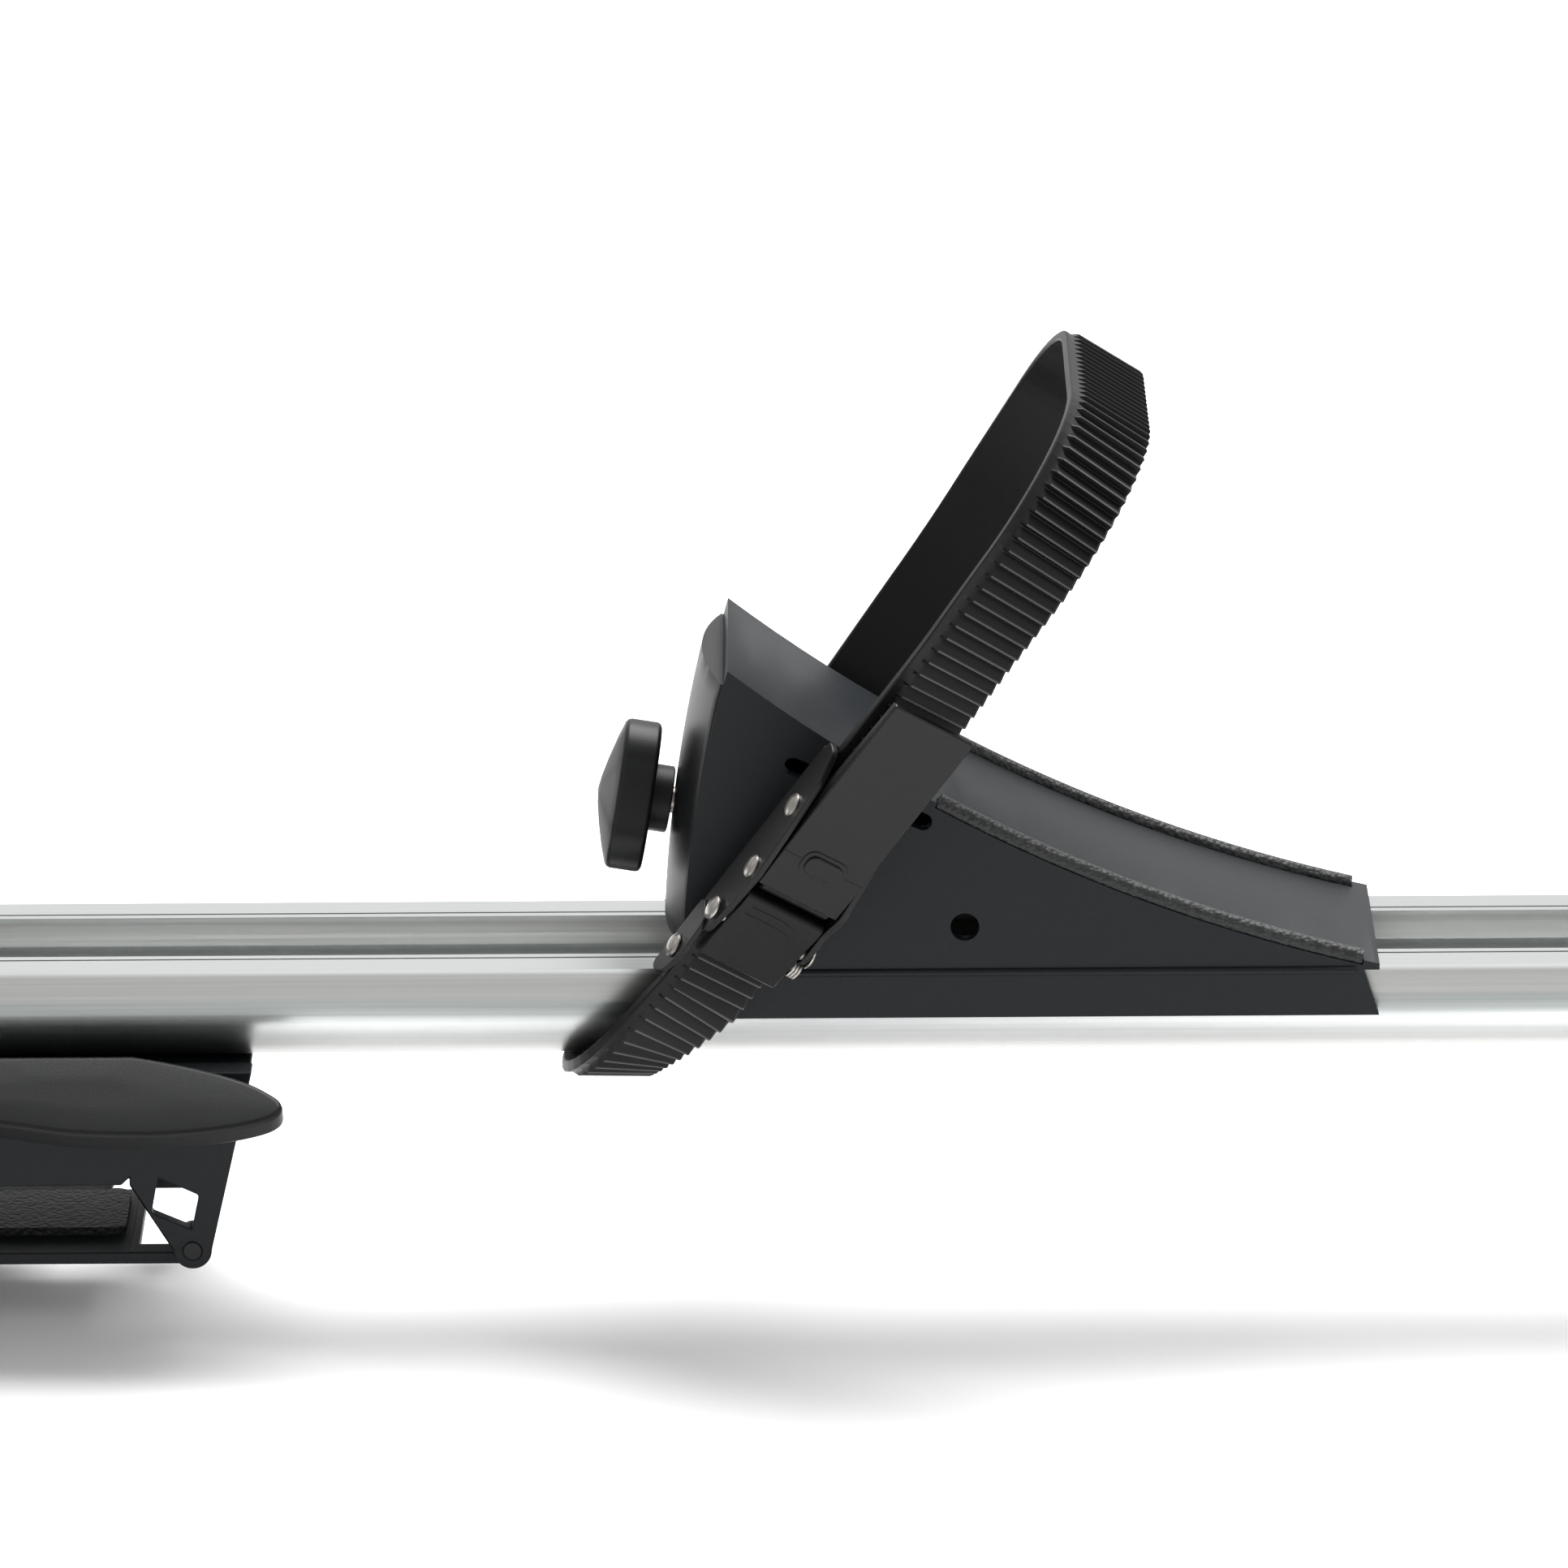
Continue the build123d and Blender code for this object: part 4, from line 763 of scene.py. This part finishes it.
class CARRIER_OT_buckles(bpy.types.Operator):
    """Ratchet buckles: lever with its thumb nub, release plate, side plates, rivets and spring"""
    bl_idname = "carrier.buckles"
    bl_label = "Ratchet buckles"

    def execute(self, context):
        for end in CHOCK_AT:
            axes = buckle_axes(end)
            self.lever(end, axes)
            self.release(end, axes)
            self.base(end, axes)
            self.rivets(end, axes)
        return {"FINISHED"}

    def lever(self, end, axes):
        """Pressed box cover: a flat top with two turned down walls, a parting line, a barrel at its
        hinge and a raised thumb nub with a rim round it."""
        place, down, width, outward = axes
        top = oblong(-33, 21, -10.3, 10.3, 0.5, 3)
        shells = [slab(top, LEVER_UNDER, LEVER_TOP, axes, edge=0.5)]
        wall = rounded([(-32.6, 5.6), (10, 2.8), (18, 1.0), (22.0, 2.0), (22.4, 5.0), (20.8, 7.4),
                        (-32.6, 7.4)], [0.3, 6.0, 3.0, 2.0, 2.0, 0.8, 0.3], 5)
        for side in (-1, 1):
            shells.append(slab(wall, -PLATE_THICK / 2, PLATE_THICK / 2,
                               upright(axes, side * LEVER_WALL_OUT), edge=0.2, steps=2))
        barrel = [(3.3, 0), (3.6, 0.3), (3.6, 2 * BARREL_HALF - 0.3), (3.3, 2 * BARREL_HALF)]
        hinge = place + down * HINGE_ALONG + outward * PIN_OVER - width * BARREL_HALF
        shells.append(lathe(barrel, (hinge, outward, np.cross(width, outward), width), 24))
        sunk = LEVER_TOP - 0.2
        nub = oblong(8.4, 13.2, -4.4, 4.4, 1.9, 6)
        shells.append(slab(nub, sunk, LEVER_TOP + NUB_HIGH, axes, edge=0.5))
        rim = oblong(7.4, 14.2, -5.4, 5.4, 2.6, 6)
        shells.append(slab(rim, sunk, LEVER_TOP + RIM_HIGH, axes, edge=0.25, steps=2))
        for inner, outer in ((-10.1, -5.6), (5.6, 10.1)):
            seam = oblong(10.6, 10.95, inner, outer, 0.05, 1)
            shells.append(slab(seam, LEVER_TOP - 0.1, LEVER_TOP + SEAM_HIGH, axes, edge=0.05,
                               steps=1))
        points, faces = join(shells)
        piece = add_piece(end + "_ratchet_lever_plate", points, faces)
        finish_piece(piece, end + "_ratchet_lever", "black_metal", end + "_buckle_lever")

    def release(self, end, axes):
        """Moulded release plate that dips towards the strap, with two curved grip lines. Each row
        is (down the strap, lower face, upper face)."""
        rows = np.array([(24.6, 3.4, 5.4), (24.9, 3.0, 6.5), (25.6, 2.4, 7.1), (28, 2.0, 7.1),
                         (31, 1.8, 6.6), (36, 1.7, 5.9), (42, 1.7, 5.3), (44.4, 1.8, 5.0),
                         (45.0, 2.3, 4.3)])
        half = RELEASE_HALF
        edges = np.array([(-half, 0.0), (-half + 0.5, 1.0), (half - 0.5, 1.0), (half, 0.0)])
        rings = []
        for x, low, high in rows:
            upper = [(x, y, high - (1 - e) * RELEASE_DROP) for y, e in edges]
            lower = [(x, y, low) for y, _ in edges[::-1]]
            rings.append(upper + lower)
        rings = np.array(rings)
        shells = [(placed(rings, axes), False)]
        for shift, reach in ((0.0, 7.2), (2.4, 7.6)):
            across = np.linspace(-reach, reach - 1.5, 24)
            x = GRIP_ALONG + shift + GRIP_BEND * np.clip((across + 0.5) / 8, 0, 1) ** 2
            height = np.interp(x, rows[:, 0], rows[:, 2]) + GRIP_HIGH
            line = placed(np.column_stack([x, across, height]), axes)
            shells.append(tube(line, GRIP_LINE_R, 6))
        points, faces = join(shells)
        piece = add_piece(end + "_release_tab", points, faces, crease=40.0)
        finish_piece(piece, end + "_release", "strap_plastic", end + "_release_plate")

    def base(self, end, axes):
        """Pressed channel: floor under the strap, two shaped side plates and the strap's ear."""
        floor = oblong(-10, 44, -12, 12, 0.6, 3)
        shells = [slab(floor, -FLOOR_UNDER, PLATE_THICK - FLOOR_UNDER, axes, edge=0.25, steps=2)]
        left = rounded([(-12.0, -4.2), (-3.0, -5.2), (37, -5.2), (42.5, -1.0), (39.5, 5.2),
                        (30.0, 7.4), (19.5, 8.6), (8, 7.2), (-6.0, 4.8), (-12.4, 0.4)],
                       [2, 2, 1.5, 3, 4, 6, 6, 6, 5, 2.2], 6)
        right = rounded([(-4, -5.2), (44, -5.2), (45.5, -2.0), (38.5, 2.6), (34.5, 6.6), (27, 6.2),
                         (20.5, 8.4), (13, 6.4), (-4, 1.0)], [1, 1, 1, 2, 2.4, 3, 4, 4, 1.4], 6)
        for side, outline in ((-1, left), (1, right)):
            shells.append(slab(outline, -PLATE_THICK / 2, PLATE_THICK / 2,
                               upright(axes, side * SIDE_OUT), edge=0.3))
        ear = rounded([(36.5, -4.6), (57.5, -4.6), (57.5, -1.6), (54.5, 2.0), (47.5, 4.4),
                       (38, 3.4)], [1.5, 1.5, 2.0, 3.5, 4, 2], 6)
        shells.append(slab(ear, -0.7, 0.6, upright(axes, -EAR_OUT), edge=0.3))
        points, faces = join(shells)
        piece = add_piece(end + "_buckle_channel", points, faces)
        finish_piece(piece, end + "_chock", "black_metal", end + "_buckle_base")

    def rivets(self, end, axes):
        """Domed rivet heads, with the shanks between them, and the release plate's spring."""
        place, down, width, outward = axes
        shells = []
        dome = [(1.6, 0), (2.75, 0.05), (2.75, 0.35), (2.3, 0.75), (1.4, 1.05), (0.5, 1.15),
                (0, 1.17)]
        spots = [(-1, 3.5, 1.3, RIVET_OUT), (-1, HINGE_ALONG, PIN_OVER, RIVET_OUT),
                 (1, HINGE_ALONG, PIN_OVER, RIVET_OUT), (1, RELEASE_ALONG, PIN_OVER, RIVET_OUT),
                 (-1, RELEASE_ALONG, 3.4, 12.9), (-1, 49, -0.6, 13.0)]
        for side, along, over, out in spots:
            centre = place + down * along + outward * over + width * side * out
            facing = width * side
            shells.append(lathe(dome, (centre, np.cross(outward, facing), outward, facing), 28))
        for along in (HINGE_ALONG, RELEASE_ALONG):
            centre = place + down * along + outward * PIN_OVER - width * RIVET_OUT
            shells.append(lathe([(SHANK_R, 0), (SHANK_R, 2 * RIVET_OUT)],
                                (centre, outward, down, width), 20))
        angle = np.linspace(0, 2 * pi * COIL_TURNS, 80)
        coil = np.column_stack([COIL_ALONG + COIL_R * np.cos(angle),
                                COIL_OUT + angle / (2 * pi) * COIL_PITCH,
                                COIL_OVER + COIL_R * np.sin(angle)])
        shells.append(tube(placed(coil, axes), COIL_WIRE_R, 8))
        points, faces = join(shells)
        piece = add_piece(end + "_rivets_and_spring", points, faces)
        finish_piece(piece, end + "_chock", "steel", end + "_buckle_rivets")


# Quick levers


class CARRIER_OT_levers(bpy.types.Operator):
    """Leaf shaped quick levers with a soft rim and a round hub"""
    bl_idname = "carrier.levers"
    bl_label = "Quick levers"

    def execute(self, context):
        low = [(-39, 8), (-22, 7.2), (-6, 5.8), (17, 3.7), (34.8, 0.9), (50.5, 0.2), (60, 0.6),
               (70.3, 1.9), (77.5, 3.7), (80.8, 5.5)]
        high = [(81.8, 7.6), (80.9, 9.7), (78.5, 11.6), (74.6, 13.9), (68.5, 16.3), (61.4, 18.4),
                (52.5, 20.5), (43.7, 22.0), (30, 22.9), (17, 22.9), (0, 22.2), (-22, 20.6),
                (-39, 19)]
        leaf = self.curve(low + high, 96)
        leaf[:, 1] = np.minimum(leaf[:, 1], np.interp(leaf[:, 0], LEAF_CUT_AT, LEAF_CUT_TO))
        rise = sin(LEAF_TILT) * Z + cos(LEAF_TILT) * Y
        facing = cos(LEAF_TILT) * Z - sin(LEAF_TILT) * Y
        drum = [(7.5, 0), (9.6, 0.3), (10.6, 1.2), (HUB_R, 2.6), (HUB_R, HUB_LONG),
                (HUB_R - 0.3, HUB_LONG)]
        arm = rounded([(-HUB_BACK, 2.2), (-28, 9.5), (-20, 17), (-22, 25.5), (-HUB_BACK, 21.8)],
                      [2, 6, 4, 3, 2], 6)
        for end, along in FOOT_AT.items():
            foot = along * X
            near = foot - LEAF_OUT * Y + LEAF_UP * Z
            behind = foot - HUB_BACK * X - HUB_OUT * Y + HUB_UP * Z
            shells = [slab(leaf, -LEAF_THICK, 0.0, (near, X, rise, facing), edge=1.3, steps=5,
                           dome=LEAF_DOME),
                      lathe(drum, (behind, Z, X, Y), 48),
                      slab(arm, 0.0, ARM_THICK, (foot - ARM_OUT * Y, X, Z, -Y), edge=1.6, steps=4)]
            points, faces = join(shells)
            piece = add_piece(end + "_leaf_lever", points, faces, SOFT_CREASE)
            finish_piece(piece, end + "_lever", "cover_plastic", end + "_quick_lever")
        return {"FINISHED"}

    def curve(self, points, count):
        """Closed smooth outline through points, sampled evenly: a cubic runs from each point to the
        next, and its slope at a point is half the step between that point's neighbours."""
        points = np.asarray(points, float)
        place = np.linspace(0, len(points), count, endpoint=False)
        index = place.astype(int)
        share = (place - index)[:, None]
        before, start, stop, after = (points[(index + k) % len(points)] for k in (-1, 0, 1, 2))
        return 0.5 * (2 * start + (stop - before) * share
                      + (2 * before - 5 * start + 4 * stop - after) * share ** 2
                      + (3 * start - before - 3 * stop + after) * share ** 3)


# Knobs


class CARRIER_OT_knobs(bpy.types.Operator):
    """Lobed hand knobs of the chocks"""
    bl_idname = "carrier.knobs"
    bl_label = "Hand knobs"

    def execute(self, context):
        outward = sin(KNOB_TILT) * Z - cos(KNOB_TILT) * X
        neck = [(NECK_R - 0.6, 0.6), (NECK_R, 0.9), (NECK_R, 7.0)]
        for end, along in CHOCK_AT.items():
            seat = (CRADLE_X + along - KNOB_BACK) * X + (RAIL_TOP + KNOB_UP) * Z
            axes = (seat, -Y, np.cross(outward, -Y), outward)
            shells = [self.star(axes), lathe(neck, axes, 40)]
            points, faces = join(shells)
            piece = add_piece(end + "_hand_knob", points, faces, SOFT_CREASE)
            finish_piece(piece, end + "_knob", "cover_plastic", end + "_chock_knob")
        return {"FINISHED"}

    def star(self, axes):
        """Three broad lobes with flat sides between them, and a low crown of six facets: each
        ring's radius swells three times round, less and less towards the crown's middle."""
        angle = np.arange(96) * 2 * pi / 96
        swell = np.cos(3 * (angle - LOBE_TURN))
        lobes = LOBE_R + LOBE_SWELL * np.sign(swell) * np.abs(swell) ** 0.7
        facets = np.abs(np.sin(3 * (angle - LOBE_TURN) / 2))
        levels = [(0.80, 5.0, 0.0), (0.94, 5.1, 0.0), (0.985, 5.5, 0.0), (1.0, 6.2, 0.0),
                  (1.0, 12.0, 0.0), (0.985, 12.7, 0.1), (0.95, 13.3, 0.3), (0.75, 14.6, 1.0),
                  (0.45, 15.9, 1.0), (0.2, 16.7, 0.5), (0.03, 17.0, 0.0)]
        rings = [np.column_stack([share * lobes * np.cos(angle), share * lobes * np.sin(angle),
                                  height - 0.5 * dip * facets]) for share, height, dip in levels]
        return placed(np.array(rings), axes), False


# CAD nodes that keep their shape: the width of their rounded edges, by the end of their names


EDGES = {"rail": 0.0, "foot_body": 0.5, "jaw": 0.4, "chock_shell": 0.8, "chock_end_cover": 0.6,
         "height_nut": 0.5, "clamp_rocker": 0.5, "arm_base": 0.6, "arm_knuckle": 0.8,
         "clamp_head": 0.8, "swing_claw": 0.7, "claw_pad": 0.5, "clamp_knob": 1.0, "end_cap": 0.5,
         "foot_seat_pad": 0.3, "jaw_pad": 0.3, "arm_pivot_pin": 0.4, "arm_base_screws": 0.3}


def edge_of(node):
    """Edge rounding of a CAD node, from the end of its name."""
    for name, width in EDGES.items():
        if node.endswith(name):
            return width
    return 0.0


class CARRIER_OT_finishes(bpy.types.Operator):
    """Finishes and softened edges of the pieces that keep their CAD shape"""
    bl_idname = "carrier.finishes"
    bl_label = "Finishes"

    def execute(self, context):
        for node in frame["nodes"]:
            dress(node, edge_of(node))
        return {"FINISHED"}


# Stage


class CARRIER_OT_stage(bpy.types.Operator):
    """Pale floor, soft lights and a long lens camera at the photograph's angle"""
    bl_idname = "carrier.stage"
    bl_label = "Stage"

    def execute(self, context):
        scene = context.scene
        view = scene.carrier_view
        level = cad_box[0][2] - FLOOR_DROP
        corners = [(x * FLOOR_REACH, y * FLOOR_REACH, level)
                   for x, y in ((-1, -1), (1, -1), (1, 1), (-1, 1))]
        mesh = bpy.data.meshes.new("studio_floor")
        mesh.from_pydata(corners, [], [(0, 1, 2, 3)])
        floor = bpy.data.objects.new("studio_floor", mesh)
        scene.collection.objects.link(floor)
        material, _, shader = new_material("pale_floor")
        shader.inputs["Base Color"].default_value = linear("#FFFFFF")
        shader.inputs["Roughness"].default_value = 0.9
        shader.inputs["Specular IOR Level"].default_value = 0.1
        mesh.materials.append(material)
        world = bpy.data.worlds.new("studio")
        world.use_nodes = True
        background = world.node_tree.nodes["Background"]
        background.inputs["Color"].default_value = (1.0, 1.0, 1.0, 1.0)
        background.inputs["Strength"].default_value = view.ambient
        scene.world = world
        for name, (place, target, size, power) in SOFT_BOXES.items():
            self.light(name, place, target, size, getattr(view, power))
        self.camera(scene, view)
        scene.view_settings.view_transform = "Standard"
        return {"FINISHED"}

    def light(self, name, place, target, size, power):
        """A soft box that faces a target."""
        lamp = bpy.data.lights.new(name, "AREA")
        lamp.shape = "RECTANGLE"
        lamp.size, lamp.size_y = size
        lamp.energy = power
        box = bpy.data.objects.new(name, lamp)
        bpy.context.scene.collection.objects.link(box)
        away = unit(np.array(place) - np.array(target))
        side = unit(np.cross(Z, away))
        up = np.cross(away, side)
        box.matrix_world = Matrix([[side[i], up[i], away[i], place[i]] for i in range(3)]
                                  + [[0, 0, 0, 1]])

    def camera(self, scene, view):
        """Long lens from in front, looking down and turned a little about its own axis."""
        lens = bpy.data.cameras.new("camera")
        lens.lens = view.lens
        lens.sensor_width = FILM_WIDTH
        camera = bpy.data.objects.new("camera", lens)
        scene.collection.objects.link(camera)
        pitch = view.pitch
        forward = cos(pitch) * Y - sin(pitch) * Z
        place = AIM_AT * MM - view.distance * forward
        turn = Matrix.Rotation(pi / 2 - pitch, 4, "X") @ Matrix.Rotation(-view.roll, 4, "Z")
        camera.matrix_world = Matrix.Translation(place.tolist()) @ turn
        scene.camera = camera


class CarrierSizes(bpy.types.PropertyGroup):
    """Sizes of the detailed pieces, in millimetres"""
    rib_pitch: bpy.props.FloatProperty(
        name="Rib pitch", description="Distance between the strap's ribs, in mm", default=3.4,
        min=1.5)
    rib_height: bpy.props.FloatProperty(
        name="Rib height", description="Height of the strap's ribs, in mm", default=1.5, min=0.2)
    strap_width: bpy.props.FloatProperty(
        name="Strap width", description="Width of the strap, in mm", default=20.0, min=10)
    strap_thick: bpy.props.FloatProperty(
        name="Strap thickness", description="Thickness over the ribs, in mm", default=3.4, min=1.5)


class CarrierView(bpy.types.PropertyGroup):
    """Camera and lights"""
    lens: bpy.props.FloatProperty(
        name="Lens", description="Focal length on a 36 mm frame, in mm", default=247.4, min=20)
    distance: bpy.props.FloatProperty(
        name="Distance", description="From the camera to the chock", default=2.4, unit="LENGTH")
    pitch: bpy.props.FloatProperty(
        name="Pitch", description="How far the camera looks down", default=radians(18.4),
        subtype="ANGLE")
    roll: bpy.props.FloatProperty(
        name="Roll", description="Turn about the camera's own axis", default=radians(0.35),
        subtype="ANGLE")
    ambient: bpy.props.FloatProperty(
        name="Ambient", description="Brightness of the white surroundings", default=0.5, min=0)
    key_power: bpy.props.FloatProperty(
        name="Key", description="Overhead soft box", default=165.0, unit="POWER")
    back_power: bpy.props.FloatProperty(
        name="Back", description="Wide soft box behind the carrier", default=24.0, unit="POWER")
    fill_power: bpy.props.FloatProperty(
        name="Fill", description="Front left soft box", default=5.0, unit="POWER")
    kick_power: bpy.props.FloatProperty(
        name="Kicker", description="Right soft box", default=4.0, unit="POWER")


STEPS = ("finishes", "straps", "buckles", "levers", "knobs", "stage")


class VIEW3D_PT_carrier(bpy.types.Panel):
    """Sidebar panel that lists the carrier's steps"""
    bl_idname = "VIEW3D_PT_carrier"
    bl_label = "Roof bike carrier"
    bl_space_type = "VIEW_3D"
    bl_region_type = "UI"
    bl_category = "Carrier"

    def draw(self, context):
        column = self.layout.column()
        for step in STEPS:
            column.operator("carrier." + step)
        for group in (context.scene.carrier_sizes, context.scene.carrier_view):
            for name in group.__annotations__:
                column.prop(group, name)


CLASSES = (CarrierSizes, CarrierView, CARRIER_OT_straps, CARRIER_OT_buckles, CARRIER_OT_levers,
           CARRIER_OT_knobs, CARRIER_OT_finishes, CARRIER_OT_stage, VIEW3D_PT_carrier)


def register():
    """Register the classes and put the settings on the scene."""
    for kind in CLASSES:
        bpy.utils.register_class(kind)
    bpy.types.Scene.carrier_sizes = bpy.props.PointerProperty(type=CarrierSizes)
    bpy.types.Scene.carrier_view = bpy.props.PointerProperty(type=CarrierView)


def unregister():
    """Take the settings and the classes away."""
    del bpy.types.Scene.carrier_view
    del bpy.types.Scene.carrier_sizes
    for kind in reversed(CLASSES):
        bpy.utils.unregister_class(kind)


def main():
    """Build everything in order."""
    register()
    for step in STEPS:
        getattr(bpy.ops.carrier, step)()


if __name__ == "__main__":
    main()
